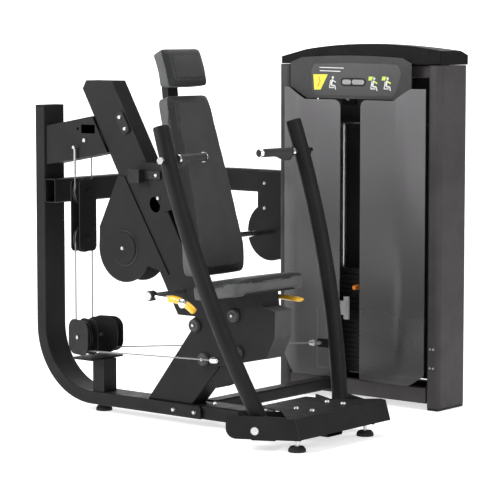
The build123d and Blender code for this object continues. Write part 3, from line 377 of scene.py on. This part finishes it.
# %% [markdown]
# New pieces are surfaces worked out as whole arrays. A grid of points, rows by columns,
# becomes a mesh of four-sided faces. Columns may close on themselves, as round a tube, and
# the first and last rows may be capped by one face each.

# %% Grids of points become meshes


def grid_mesh(name, points, finish, body, closed=True, caps=True, smooth=True):
    """points[i, j] is row i, column j. Face (i, j) joins it to its next row and column."""
    rows, columns = points.shape[:2]
    runs = columns if closed else columns - 1
    i, j = np.meshgrid(np.arange(rows - 1), np.arange(runs), indexing="ij")
    here, there = i * columns, (i + 1) * columns
    k = (j + 1) % columns
    quads = np.stack([here + j, here + k, there + k, there + j], -1)
    faces = [tuple(q) for q in quads.reshape(-1, 4).tolist()]
    if caps and closed:
        faces.append(tuple(range(columns - 1, -1, -1)))
        faces.append(tuple(range((rows - 1) * columns, rows * columns)))
    mesh = bpy.data.meshes.new(name)
    mesh.from_pydata(points.reshape(-1, 3).tolist(), [], faces)
    mesh.polygons.foreach_set("use_smooth", np.full(len(faces), smooth))
    mesh.materials.append(materials[finish])
    piece = bpy.data.objects.new(name, mesh)
    bpy.context.scene.collection.objects.link(piece)
    outward(piece)
    if body:
        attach(piece, body)
    return piece


def outward(piece):
    """Turns every face to look out of its closed shell."""
    work = bmesh.new()
    work.from_mesh(piece.data)
    bmesh.ops.recalc_face_normals(work, faces=work.faces)
    work.to_mesh(piece.data)
    work.free()


def frames_along(path):
    """Two unit vectors across a path, at each of its points."""
    ahead = np.gradient(path, axis=0)
    ahead /= np.linalg.norm(ahead, axis=1, keepdims=True)
    upright = abs(ahead[:, 2]).max() >= 0.9
    helper = np.array([0.9, 0.37, 0.21] if upright else [0.31, 0.17, 0.93])
    right = np.cross(ahead, helper)
    right /= np.linalg.norm(right, axis=1, keepdims=True)
    return right, np.cross(right, ahead)


def tube(name, path, radius, finish, body, sides=20):
    """A tube: circles of the given radius, or radii, set across a path."""
    path = np.asarray(path, float)
    radius = np.broadcast_to(radius, len(path))
    right, up = frames_along(path)
    turn = np.linspace(0, 2 * pi, sides, endpoint=False)
    ring = np.cos(turn)[None, :, None] * right[:, None] + np.sin(turn)[None, :, None] * up[:, None]
    return grid_mesh(name, path[:, None] + ring * radius[:, None, None], finish, body)


def turned(name, origin, axis, profile, finish, body, sides=40):
    """A turned piece: the profile's (distance along the axis, radius) spun round the axis."""
    profile = np.asarray(profile, float)
    axis = np.asarray(axis, float) / np.linalg.norm(axis)
    path = np.asarray(origin) + profile[:, :1] * axis
    helper = np.array([0, 0, 1.0]) if abs(axis[2]) < 0.9 else np.array([1.0, 0, 0])
    right = np.cross(axis, helper)
    right /= np.linalg.norm(right)
    up = np.cross(right, axis)
    turn = np.linspace(0, 2 * pi, sides, endpoint=False)
    ring = np.cos(turn)[:, None] * right + np.sin(turn)[:, None] * up
    return grid_mesh(name, path[:, None] + ring * profile[:, 1][:, None, None], finish, body)


print("grid, tube and turned pieces are ready")

# %% [markdown]
# Each smoked cover is one sheet, folded once. Its plan is two straight runs joined by a
# parabola, P(u) = (1-u)^2 A + 2u(1-u) C + u^2 B, with C the fold. Its upper edge drops in a
# quarter circle at the gap in the middle, and climbs along the placard's wing outside.

# %% The tower's smoked covers
cover_low, cover_top = 0.096, 1.284
cover_middle, wing_width = 0.56, 0.085


def folded(start, corner, end, reach=0.035, count=150):
    """A plan line from start to end with a rounded fold, at even steps."""
    start, corner, end = (np.array(p, float) for p in (start, corner, end))
    near = corner + (start - corner) / np.linalg.norm(start - corner) * reach
    away = corner + (end - corner) / np.linalg.norm(end - corner) * reach
    u = np.linspace(0, 1, 40)[:, None]
    bend = (1 - u) ** 2 * near + 2 * u * (1 - u) * corner + u ** 2 * away
    line = np.vstack([start, bend, end])
    run = np.concatenate([[0], np.cumsum(np.linalg.norm(np.diff(line, axis=0), axis=1))])
    steps = np.linspace(0, run[-1], count)
    return np.stack([np.interp(steps, run, line[:, k]) for k in range(2)], 1), steps


def cover_sheet(name, plan, wing, low_cut, thick=0.004, corner=0.032, levels=24):
    """Stands a folded sheet upright. wing and low_cut are (place, slope) along Y."""
    line, steps = folded(*plan)
    ahead = np.gradient(line, axis=0)
    ahead /= np.linalg.norm(ahead, axis=1, keepdims=True)
    aside = np.stack([ahead[:, 1], -ahead[:, 0]], 1) * thick / 2
    inner = np.clip(corner - (steps[-1] - steps), 0, corner)
    top = cover_top - (corner - np.sqrt(corner ** 2 - inner ** 2))
    top += np.clip(abs(line[:, 1] - cover_middle) - wing[0], 0, wing_width) * wing[1]
    low = cover_low + np.clip(abs(line[:, 1] - cover_middle) - low_cut[0], 0, 1) * low_cut[1]
    z = low[:, None] + (top - low)[:, None] * np.linspace(0, 1, levels)
    flat = np.ones_like(z)
    skins = []
    for side in (1, -1):
        skin = line + side * aside
        skins.append(np.stack([skin[:, :1] * flat, skin[:, 1:] * flat, z], -1))
    points = np.concatenate([skins[0], skins[1][:, ::-1]], axis=1) + at(0, 0, 0)
    return grid_mesh(name, points, "smoked_sheet", "frame", smooth=False)


left_cover = cover_sheet("rear_cover", ((0.829, 0.909), (0.812, 0.850), (0.836, 0.615)),
                         (0.233, 0.60), (0.290, 1.35))
right_cover = cover_sheet("front_cover", ((0.829, 0.171), (0.812, 0.288), (0.836, 0.508)),
                          (0.235, 0.60), (0.318, 0.65))
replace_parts(left_cover, "shroud_panels")
print("covers", len(left_cover.data.polygons), len(right_cover.data.polygons))

# %% [markdown]
# The placard carries plain marks only: a warning tag, three seated figures made of discs
# and bars, two rules, and a stadium-shaped slot with two pale labels. Every mark is a thin
# raised plate, so that it has an edge of its own.

# %% Marks on the placard


def plate(name, outline, finish, proud=0.0007, face=0.832):
    """A flat mark on the placard from its (y, z) outline in millimetres."""
    outline = np.asarray(outline, float) / 1000
    rows = [np.column_stack([np.full(len(outline), face - x), outline]) for x in (-0.0005, proud)]
    made = grid_mesh(name, np.array(rows) + at(0, 0, 0), finish, "frame", smooth=False)
    return made


def disc(y, z, radius, count=24):
    """The outline of a disc."""
    turn = np.linspace(0, 2 * pi, count, endpoint=False)
    return np.column_stack([y + radius * np.cos(turn), z + radius * np.sin(turn)])


def stadium(y0, y1, z0, z1, count=12):
    """The outline of a slot with round ends."""
    radius, middle = (z1 - z0) / 2, (z0 + z1) / 2
    turn = np.linspace(-pi / 2, pi / 2, count)
    right = np.column_stack([y1 - radius + radius * np.cos(turn), middle + radius * np.sin(turn)])
    left = np.column_stack([y0 + radius - radius * np.cos(turn), middle - radius * np.sin(turn)])
    return np.vstack([right, left])


def bar(start, end, width):
    """The outline of a straight bar between two points."""
    start, end = np.array(start, float), np.array(end, float)
    aside = np.array([start[1] - end[1], end[0] - start[0]]) / np.linalg.norm(end - start) * width / 2
    return [start + aside, start - aside, end - aside, end + aside]


screen_top = [(y, 1438 - 0.00009 * (y - 545) ** 2) for y in np.linspace(752, 318, 20)]
screen_foot = [(296, 1402), (322, 1322), (345, 1302), (742, 1302), (764, 1322)]
plate("screen", [(768, 1405)] + screen_top + screen_foot, "placard_screen", 0.0004)
plate("warning_tag", [(757, 1389), (679, 1390), (717, 1325), (751, 1324)], "print_yellow")
plate("warning_line_a", bar((727, 1379), (719, 1357), 5), "pin_orange", 0.0010)
plate("warning_line_b", bar((722, 1358), (734, 1336), 5), "pin_orange", 0.0010)
plate("slot_rim", stadium(478, 611, 1341, 1377), "foot_rubber", 0.0009)
plate("label_a", stadium(556, 602, 1349, 1369), "grey_moulding", 0.0012)
plate("label_b", stadium(487, 551, 1349, 1369), "grey_moulding", 0.0012)
plate("rule_a", bar((724, 1419), (595, 1417), 3.4), "print_white")
plate("rule_b", bar((722, 1405), (612, 1403), 3.4), "print_white")
places = ((655, 1355, False), (438, 1353, True), (369, 1354, True))
for number, (y, z, accent) in enumerate(places):
    figure = {
        "head": disc(y - 3, z + 22, 5.5),
        "body": bar((y - 1, z + 14), (y + 6, z - 10), 8),
        "thigh": bar((y + 6, z - 11), (y - 14, z - 13), 6),
        "shin": bar((y - 14, z - 13), (y - 18, z - 29), 5),
        "seat": bar((y + 16, z - 21), (y - 10, z - 21), 4),
        "back": bar((y + 15, z - 20), (y + 9, z + 10), 4),
    }
    for part, shape in figure.items():
        plate(f"figure_{number}_{part}", shape, "print_white", 0.0009)
    arm_width, arm_print = (6, "print_green") if accent else (4, "print_white")
    arm = bar((y - 3, z + 10), (y - 19, z + 2), arm_width)
    plate(f"figure_{number}_arm", arm, arm_print, 0.0012)
    if accent:
        tag = [(y + 24, z + 30), (y + 3, z + 30), (y + 10, z + 14), (y + 28, z + 14)]
        plate(f"figure_{number}_tag", tag, "print_green", 0.0012)

# %% [markdown]
# The handles are rubber sleeves with a palm rest on the underside, next to the arm. Across
# the bar the sleeve is an ellipse whose lower half grows by 18 mm times a smooth step that
# falls from 1 to 0 between two places along the bar.

# %% Handle sleeves


def smooth_step(x, low, high):
    """3u^2 - 2u^3, with u going from 0 at low to 1 at high."""
    u = np.clip((x - low) / (high - low), 0, 1)
    return u * u * (3 - 2 * u)


def sleeve(name, side):
    """The sleeve on one arm: side is -1 for the near arm and 1 for the far one."""
    cross, reach = at(side * 0.40969, 0.48942, 1.08869), np.array([-side * 0.9945, 0.1045, 0])
    run = np.linspace(0.066, 0.234, 70)
    palm = 1 - smooth_step(run, 0.098, 0.158)
    ends = np.clip(np.minimum(run - 0.0655, 0.2345 - run) / 0.004, 0.15, 1) ** 0.35
    turn = np.linspace(0, 2 * pi, 36, endpoint=False)
    aside = np.cross(reach, (0, 0, 1))
    down = np.clip(-np.sin(turn), 0, 1) ** 0.8
    wide = (0.0172 + 0.0035 * palm) * ends
    tall = 0.0172 * ends[:, None] + 0.018 * palm[:, None] * down
    level = (wide[:, None] * np.cos(turn))[..., None] * aside
    upright = (tall * np.sin(turn))[..., None] * np.array([0, 0, 1.0])
    points = cross + run[:, None, None] * reach + level + upright
    return grid_mesh(name, points, "grip_rubber", {-1: "right_press", 1: "left_press"}[side])


for side, node in ((-1, "right_grip"), (1, "left_grip")):
    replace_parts(sleeve(node + "_sleeve", side), node)
print("handle sleeves 2")

# %% [markdown]
# The two arm cables run from the hanging block, under the rear pulleys, to the arms' shackles. Each is
# one tube along a quarter turn and a straight run. The hanging runs are straight tubes between two
# heights: one at the frame, and one at the block or the stack.

# %% Arm cables
groove, wire_radius = 0.057, 0.00275


def arm_cable(side):
    """side is -1 for the near arm and 1 for the far one."""
    pin = at(side * 0.31818, 0.32097, 0.32856)
    strand = at(-0.012 + side * 0.050, 1.310, 0.312)
    away = np.array([side * 0.25618, 0.32097 - 1.310, 0])
    away /= np.linalg.norm(away)
    hub = strand + away * groove
    turn = np.linspace(pi, radians(274.3), 26)[:, None]
    wrap = hub + groove * (np.cos(turn) * away + np.sin(turn) * np.array([0, 0, 1.0]))
    leave = wrap[-1]
    way = (pin - leave) / np.linalg.norm(pin - leave)
    stop = pin - way * 0.045
    straight = leave + (stop - leave) * np.linspace(0, 1, 60)[1:, None]
    return np.vstack([wrap, straight]), leave, stop


for side, hand in ((-1, "right"), (1, "left")):
    node, shackle = f"{hand}_arm_cable", f"{hand}_shackle"
    path, leave, stop = arm_cable(side)
    wire_piece = tube(node + "_wire", path, wire_radius, "coated_wire", None, sides=10)
    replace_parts(wire_piece, node)
    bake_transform(wire_piece)
runs = (("stack_cable", 0.940, 0.555, 1.2846, 0.5274, "lifted_stack"),
        ("upper_strands", -0.062, 1.310, 0.9796, 0.9094, "block"),
        ("upper_strands", 0.038, 1.310, 0.9796, 0.9094, "block"),
        ("lower_strands", -0.062, 1.310, 0.3124, 0.7136, "block"),
        ("lower_strands", 0.038, 1.310, 0.3124, 0.7136, "block"))
for number, (node, x, y, fixed, moving, body) in enumerate(runs):
    start, end = at(x, y, fixed), at(x, y, moving)
    path = start + (end - start) * np.linspace(0, 1, 40)[:, None]
    strand = tube(f"hanging_run_{number}", path, wire_radius, "coated_wire", None, sides=10)
    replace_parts(strand, node)
    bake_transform(strand)
print("arm cables 2, hanging runs", len(runs))

# %% [markdown]
# Both levers are chromed bars with moulded yellow ends. The seat's paddle is a flattened
# pod: ellipses along a line, scaled by (1 - |2t-1|^p)^(1/p) so that both ends are round.

# %% Levers


def pod(name, path, wide, tall, finish, body, power=3.0, sides=28):
    """An ellipse swept along a path, rounded at both ends."""
    path = np.asarray(path, float)
    t = np.linspace(0, 1, len(path))
    scale = np.clip(1 - abs(2 * t - 1) ** power, 1e-4, 1) ** (1 / power)
    ahead = np.gradient(path, axis=0)
    ahead /= np.linalg.norm(ahead, axis=1, keepdims=True)
    right = np.cross(ahead, (0, 0, 1))
    right /= np.linalg.norm(right, axis=1, keepdims=True)
    up = np.cross(right, ahead)
    turn = np.linspace(0, 2 * pi, sides, endpoint=False)
    level, upright = wide * np.cos(turn)[None, :, None], tall * np.sin(turn)[None, :, None]
    ring = level * right[:, None] + upright * up[:, None]
    return grid_mesh(name, path[:, None] + ring * scale[:, None, None], finish, body)


def line_of(*places, count=40):
    """A smooth path through places in millimetres: a quadratic curve for three of them."""
    places = [at(*(np.array(p) / 1000)) for p in places]
    t = np.linspace(0, 1, count)[:, None]
    if len(places) == 2:
        return places[0] + (places[1] - places[0]) * t
    control = 2 * places[1] - (places[0] + places[2]) / 2
    return (1 - t) ** 2 * places[0] + 2 * t * (1 - t) * control + t ** 2 * places[2]


paddle_line = line_of((165, 441, 521), (165, 365, 522), (165, 297, 516))
paddle = pod("seat_paddle", paddle_line, 0.031, 0.0095, "lever_yellow", "seat_release", 4.0)
rod_line = line_of((60, 440, 520), (192, 440, 520), count=8)
paddle_rod = tube("seat_paddle_rod", rod_line, 0.006, "polished_chrome", "seat_release")
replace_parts(paddle, "seat_lever")
grip_line = line_of((-232, 645, 532), (-232, 575, 524), (-232, 512, 490))
start_grip = pod("start_grip", grip_line, 0.0145, 0.0145, "lever_yellow", "start_pedal", 9.0)
bar_line = line_of((-232, 722, 536), (-232, 640, 532), count=8)
start_bar = tube("start_bar", bar_line, 0.008, "polished_chrome", "start_pedal")
hub_profile = [(0, 0.0102), (0, 0.0195), (0.001, 0.020), (0.027, 0.020), (0.028, 0.0195),
               (0.028, 0.0102)]
hub_place = at(-0.246, 0.737, 0.537)
start_hub = turned("start_hub", hub_place, (1, 0, 0), hub_profile, "foot_rubber", "start_pedal")
knob_profile = [(0, 0.0005), (0.0005, 0.013), (0.002, 0.0178), (0.004, 0.019), (0.017, 0.019),
                (0.018, 0.0005)]
knob_place = at(-0.250, 0.566, 0.521)
start_cap = turned("start_cap", knob_place, (1, 0, 0), knob_profile, "polished_chrome", "start_pedal")
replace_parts(start_grip, "start_lever")

# %% [markdown]
# Round caps and a grey cover finish the seat's carriage, and a shallow dome covers the middle of the
# big guard plate. The caps, their bolts and the dome are turned: a radius for each distance along an
# axis. The cover is a bent strip drawn across the carriage.

# %% Caps, dome and carriage cover
dome_profile = [(0, 0.0725), (0.002, 0.0722), (0.0045, 0.069), (0.007, 0.060), (0.0088, 0.045),
                (0.0094, 0.025), (0.0095, 0.0005)]
dome_place = at(-0.0455, 1.050, 0.692)
dome = turned("guard_dome", dome_place, (-1, 0, 0), dome_profile, "cap_paint", "frame", 64)
cap_profile = [(0, 0.0275), (0.006, 0.0273), (0.0145, 0.0246), (0.0165, 0.0226), (0.0165, 0.0200),
               (0.0150, 0.0190), (0.0150, 0.0120), (0.0170, 0.0106), (0.0175, 0.0004)]
bolt_profile = [(0.0170, 0.0066), (0.0205, 0.0064), (0.0215, 0.0052), (0.0215, 0.0004)]
caps = []
for y, z in ((0.6630, 0.4080), (0.6167, 0.2759), (0.4621, 0.4635), (0.4431, 0.3187)):
    for side in (-1, 1):
        place, out = at(side * 0.0521, y, z), (side, 0, 0)
        cap = turned(f"roller_cap_{len(caps)}", place, out, cap_profile, "cap_paint", "seat")
        caps.append(cap)
        head = turned(f"roller_bolt_{len(caps)}", place, out, bolt_profile, "zinc_plate", "seat", 6)
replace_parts(caps[0], "seat_rollers")
cover_line = np.array([(0.3165, 0.5063), (0.2568, 0.4952), (0.2588, 0.3915), (0.2990, 0.3052)])
inward = np.array([(0.0006, -0.0016), (0.0018, -0.0014), (0.0016, 0.0008), (0.0016, 0.0008)])
profile = np.vstack([cover_line, (cover_line + inward)[::-1]])
rows = [np.column_stack([np.full(len(profile), x), profile]) for x in (-0.0515, 0.0515)]
rows = np.array(rows) + at(0, 0, 0)
carriage_cover = grid_mesh("carriage_cover", rows, "cap_paint", "seat", smooth=False)
print("caps", len(caps))

# %% [markdown]
# A pad on the real machine is a board, a block of foam and a sewn vinyl cover. The foam
# pushes the cover out, so its flats are slightly crowned and its corners are soft.
# The pad starts as a slab: an outline that is a superellipse, drawn smaller and smaller
# towards the middle of its face, and carried back over a bevel to the board. A cloth
# simulation with a little air pressure then swells it, and a cap keeps it in its place.

# %% The shape of a pad before it is stuffed


def outline(count, power):
    """Points round a superellipse: |x|^power + |t|^power = 1."""
    angle = np.linspace(0, 2 * pi, count, endpoint=False)
    x, t = np.cos(angle), np.sin(angle)
    return np.sign(x) * abs(x) ** (2 / power), np.sign(t) * abs(t) ** (2 / power)


def pad_grid(face, half_width, span, thick, bevel, crown, power=7, count=120):
    """Rows run from the middle of the face, over the bevel and the side, to the board.

    face(t) gives the face's (y, z) at a place t along the pad; span is t's two ends."""
    low, high = span
    middle, half = (low + high) / 2, (high - low) / 2
    q = np.array([0.03, 0.18, 0.36, 0.54, 0.72, 0.88, 1.0])
    slope = np.linspace(0, 1, 6)[1:]
    rows = [(bevel[0], share, crown * share ** 2) for share in q]
    rows += [(bevel[0] * (1 - s), 1.0, crown + bevel[1] * s ** 1.25) for s in slope]
    rows += [(0.0, 1.0, d) for d in np.linspace(crown + bevel[1], thick - 0.006, 5)[1:]]
    rows += [(0.005, 1.0, thick)] + [(0.005, share, thick) for share in (0.8, 0.5, 0.2, 0.03)]
    inset, share, depth = np.array(rows).T[:, :, None]
    sx, st = outline(count, power)
    t = middle + (half - inset) * share * st[None]
    x = (half_width(t) - inset) * share * sx[None]
    step = 1e-4
    here, there = np.array(face(t)), np.array(face(t + step))
    way = (there - here) / step
    way /= np.linalg.norm(way, axis=0)
    y = here[0] + depth * way[1]
    z = here[1] - depth * way[0]
    return np.stack([x + middle_x, y + front_y, z + 0 * x], -1)


def back_face(z):
    """Nearly upright at the small of the back, then leaning back by 16.4 degrees."""
    bend = 0.03 * np.log1p(np.exp((z - 0.782) / 0.03))
    return 0.5645 + 0.04 * (z - 0.616) + (np.tan(radians(16.4)) - 0.04) * bend, z


def head_face(z):
    """The head pad leans back more steeply, and is a little hollow."""
    return 0.723 + 0.30 * (z - 1.375) + 1.2 * (z - 1.435) ** 2, z


def seat_face(y):
    """The seat falls back by 9.5 degrees and rolls over at its front edge."""
    return y, 0.634 - np.tan(radians(9.5)) * (y - 0.305) - 0.010 * np.exp(-(y - 0.305) / 0.02)


def back_half(z):
    """The back pad is 322 mm wide low down and narrows to 254 mm at its top."""
    return 0.161 - 0.034 * np.clip((z - 0.70) / 0.62, 0, 1)


def head_half(z):
    """The head pad is 234 mm wide all the way up."""
    return np.full_like(z, 0.117)


def seat_half(y):
    """The seat pad is 422 mm wide in front and narrows to 302 mm at its rear."""
    return 0.211 - 0.060 * np.clip((y - 0.395) / 0.211, 0, 1)


pads = {
    "back_pad": dict(face=back_face, half_width=back_half, span=(0.614, 1.325), thick=0.076,
                     bevel=(0.030, 0.020), crown=0.004, power=16),
    "head_pad": dict(face=head_face, half_width=head_half, span=(1.357, 1.512), thick=0.070,
                     bevel=(0.030, 0.018), crown=0.003, power=14),
    "seat_pad": dict(face=seat_face, half_width=seat_half, span=(0.303, 0.608), thick=0.066,
                     bevel=(0.014, 0.012), crown=0.004, power=10),
}
print("pads", list(pads))

# %% Stuff the pads with a cloth simulation


def stuff(piece, pressure=2.0, cap=0.003, voxel=0.005):
    """Remeshes a pad, swells it by air pressure, and lets no point move further than cap."""
    bpy.context.view_layer.objects.active = piece
    piece.select_set(True)
    piece.data.remesh_voxel_size = voxel
    bpy.ops.object.voxel_remesh()
    count = len(piece.data.vertices)
    before = np.zeros(count * 3)
    piece.data.vertices.foreach_get("co", before)
    cloth = piece.modifiers.new("air", "CLOTH")
    cloth.settings.use_pressure = True
    cloth.settings.uniform_pressure_force = pressure
    cloth.settings.effector_weights.gravity = 0
    cloth.settings.tension_stiffness = 30
    cloth.settings.compression_stiffness = 30
    cloth.settings.bending_stiffness = 2
    cloth.collision_settings.use_collision = False
    for step in range(1, 16):
        bpy.context.scene.frame_set(step)
    solved = piece.evaluated_get(bpy.context.evaluated_depsgraph_get()).data
    after = np.zeros(count * 3)
    solved.vertices.foreach_get("co", after)
    piece.modifiers.remove(cloth)
    bpy.context.scene.frame_set(1)
    move = (after - before).reshape(-1, 3)
    length = np.linalg.norm(move, axis=1, keepdims=True)
    move *= np.minimum(1, cap / np.maximum(length, 1e-9))
    piece.data.vertices.foreach_set("co", (before.reshape(-1, 3) + move).ravel())
    piece.data.update()
    piece.select_set(False)
    return float(length.max()), count


def relax(piece, turns=2, factor=0.5):
    """Evens out the cover with Blender's own smoothing, then applies it."""
    smoothing = piece.modifiers.new("even", "SMOOTH")
    smoothing.factor = factor
    smoothing.iterations = turns
    bake(piece)


def bake(piece):
    """Replaces a piece's mesh by its evaluated one and drops its modifiers."""
    made = bpy.data.meshes.new_from_object(piece.evaluated_get(bpy.context.evaluated_depsgraph_get()))
    piece.modifiers.clear()
    piece.data = made


bodies_of_pads = {"back_pad": "frame", "head_pad": "frame", "seat_pad": "seat"}
covers = {}
seams = {}
for name, shape in pads.items():
    grid = pad_grid(**shape)
    seams[name] = grid[6]
    cover = grid_mesh(name + "_cover", grid, "pad_vinyl", None)
    moved, count = stuff(cover)
    relax(cover)
    print(name, "points", count, "swelled by up to", round(moved * 1000, 1), "mm, capped")
    covers[name] = cover

# %% [markdown]
# The cover is sewn round the edge of its face. Its faces that turn sideways get a lighter copy of the
# vinyl, as painted light, and the bevel between face and side a darker copy, as painted shade. Along
# the seam the thread pulls the vinyl into the foam, so the surface dips there, and a row of stitches
# runs beside it. The dip is a bell curve of the distance to the seam.

# %% Seams, stitches, and painted light and shade on the pads' sides


def sew(cover, seam, depth=0.0022, reach=0.0035):
    """Pulls the cover in along a seam: depth times exp(-(distance / reach)^2)."""
    mesh = cover.data
    # The lighter vinyl is painted light for the sides, and the darker vinyl is painted shade for the
    # bevels.
    mesh.materials.append(materials["pad_vinyl_painted_light"])
    mesh.materials.append(materials["pad_vinyl_painted_shade"])
    count = len(mesh.vertices)
    points = np.zeros(count * 3)
    mesh.vertices.foreach_get("co", points)
    points = points.reshape(-1, 3)
    normals = np.zeros(count * 3)
    mesh.vertices.foreach_get("normal", normals)
    normals = normals.reshape(-1, 3)
    tree = BVHTree.FromObject(cover, bpy.context.evaluated_depsgraph_get())
    closed = np.vstack([seam, seam[:1]])
    steps = np.linspace(0, len(seam), 4 * len(seam), endpoint=False)
    fine = np.stack([np.interp(steps, np.arange(len(closed)), closed[:, k]) for k in range(3)], 1)
    on_cover = np.array([tree.find_nearest(Vector(p))[0] for p in fine])
    near = np.full(count, 1.0)
    for part in np.array_split(on_cover, 8):
        near = np.minimum(near, np.linalg.norm(points[:, None] - part[None], axis=2).min(1))
    points -= normals * (depth * np.exp(-(near / reach) ** 2))[:, None]
    mesh.vertices.foreach_set("co", points.ravel())
    mesh.update()
    return on_cover, tree


def stitches(name, line, tree, body, inward, gap=0.0052, length=0.0032, radius=0.00055):
    """Small threads beside a seam, each a six-sided spindle, all in one mesh."""
    closed = np.vstack([line, line[:1]])
    run = np.concatenate([[0], np.cumsum(np.linalg.norm(np.diff(closed, axis=0), axis=1))])
    marks = np.arange(0, run[-1], gap)
    place = np.stack([np.interp(marks, run, closed[:, k]) for k in range(3)], 1)
    later = [np.interp(marks + 0.001, run, closed[:, k], period=run[-1]) for k in range(3)]
    ahead = np.stack(later, 1) - place
    ahead /= np.maximum(np.linalg.norm(ahead, axis=1, keepdims=True), 1e-9)
    middle = place.mean(0)
    shifted = place + (middle - place) / np.linalg.norm(middle - place, axis=1, keepdims=True) * inward
    hits = [tree.find_nearest(Vector(p)) for p in shifted]
    place = np.array([hit[0] for hit in hits])
    up = np.array([hit[1] for hit in hits])
    right = np.cross(ahead, up)
    turn = np.linspace(0, 2 * pi, 6, endpoint=False)
    along = np.array([-0.5, -0.3, 0.3, 0.5]) * length
    wide = np.array([0.25, 1.0, 1.0, 0.25]) * radius
    ring = np.cos(turn)[:, None, None] * right + np.sin(turn)[:, None, None] * up
    points = (place[None, None] + along[:, None, None, None] * ahead[None, None]
              + wide[:, None, None, None] * ring[None])
    points = points.transpose(2, 0, 1, 3)
    one = []
    for r in range(3):
        for c in range(6):
            here, beside = r * 6 + c, r * 6 + (c + 1) % 6
            one.append([here, beside, beside + 6, here + 6])
    one = np.array(one)
    faces = (one[None] + 24 * np.arange(len(place))[:, None, None]).reshape(-1, 4)
    mesh = bpy.data.meshes.new(name)
    mesh.from_pydata(points.reshape(-1, 3).tolist(), [], faces.tolist())
    mesh.materials.append(materials["thread"])
    piece = bpy.data.objects.new(name, mesh)
    bpy.context.scene.collection.objects.link(piece)
    outward(piece)
    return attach(piece, body)


moulded("thread", (0.055, 0.055, 0.057), 0.6)
for name, cover in covers.items():
    line, tree = sew(cover, seams[name])
    centre = seams[name].mean(0)
    mesh = cover.data
    middles = np.zeros(len(mesh.polygons) * 3)
    mesh.polygons.foreach_get("center", middles)
    normals = np.zeros(len(mesh.polygons) * 3)
    mesh.polygons.foreach_get("normal", normals)
    facing = seams[name] - centre
    spin = np.cross(facing, np.roll(facing, -1, 0)).mean(0)
    spin /= np.linalg.norm(spin)
    if name == "seat_pad":
        spin = spin if spin[2] > 0 else -spin
    else:
        spin = spin if spin[1] < 0 else -spin
    # Faces are sorted by how far they turn from the pad's front. Sides take the lighter copy as
    # painted light, and bevels take the darker copy as painted shade.
    lift = normals.reshape(-1, 3) @ spin
    lit_or_shaded = np.where(lift < 0.28, 1, np.where(lift < 0.93, 2, 0))
    mesh.polygons.foreach_set("material_index", lit_or_shaded.astype(np.int32))
    mesh.polygons.foreach_set("use_smooth", np.full(len(mesh.polygons), True))
    body = bodies_of_pads[name]
    made = stitches(name + "_stitches", line, tree, body, 0.007)
    finer = cover.modifiers.new("finer", "SUBSURF")
    finer.levels = finer.render_levels = 1
    bake(cover)
    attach(cover, body)
    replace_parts(cover, name)
    print(name, "faces", len(cover.data.polygons), "stitches", len(made.data.polygons) // 18)
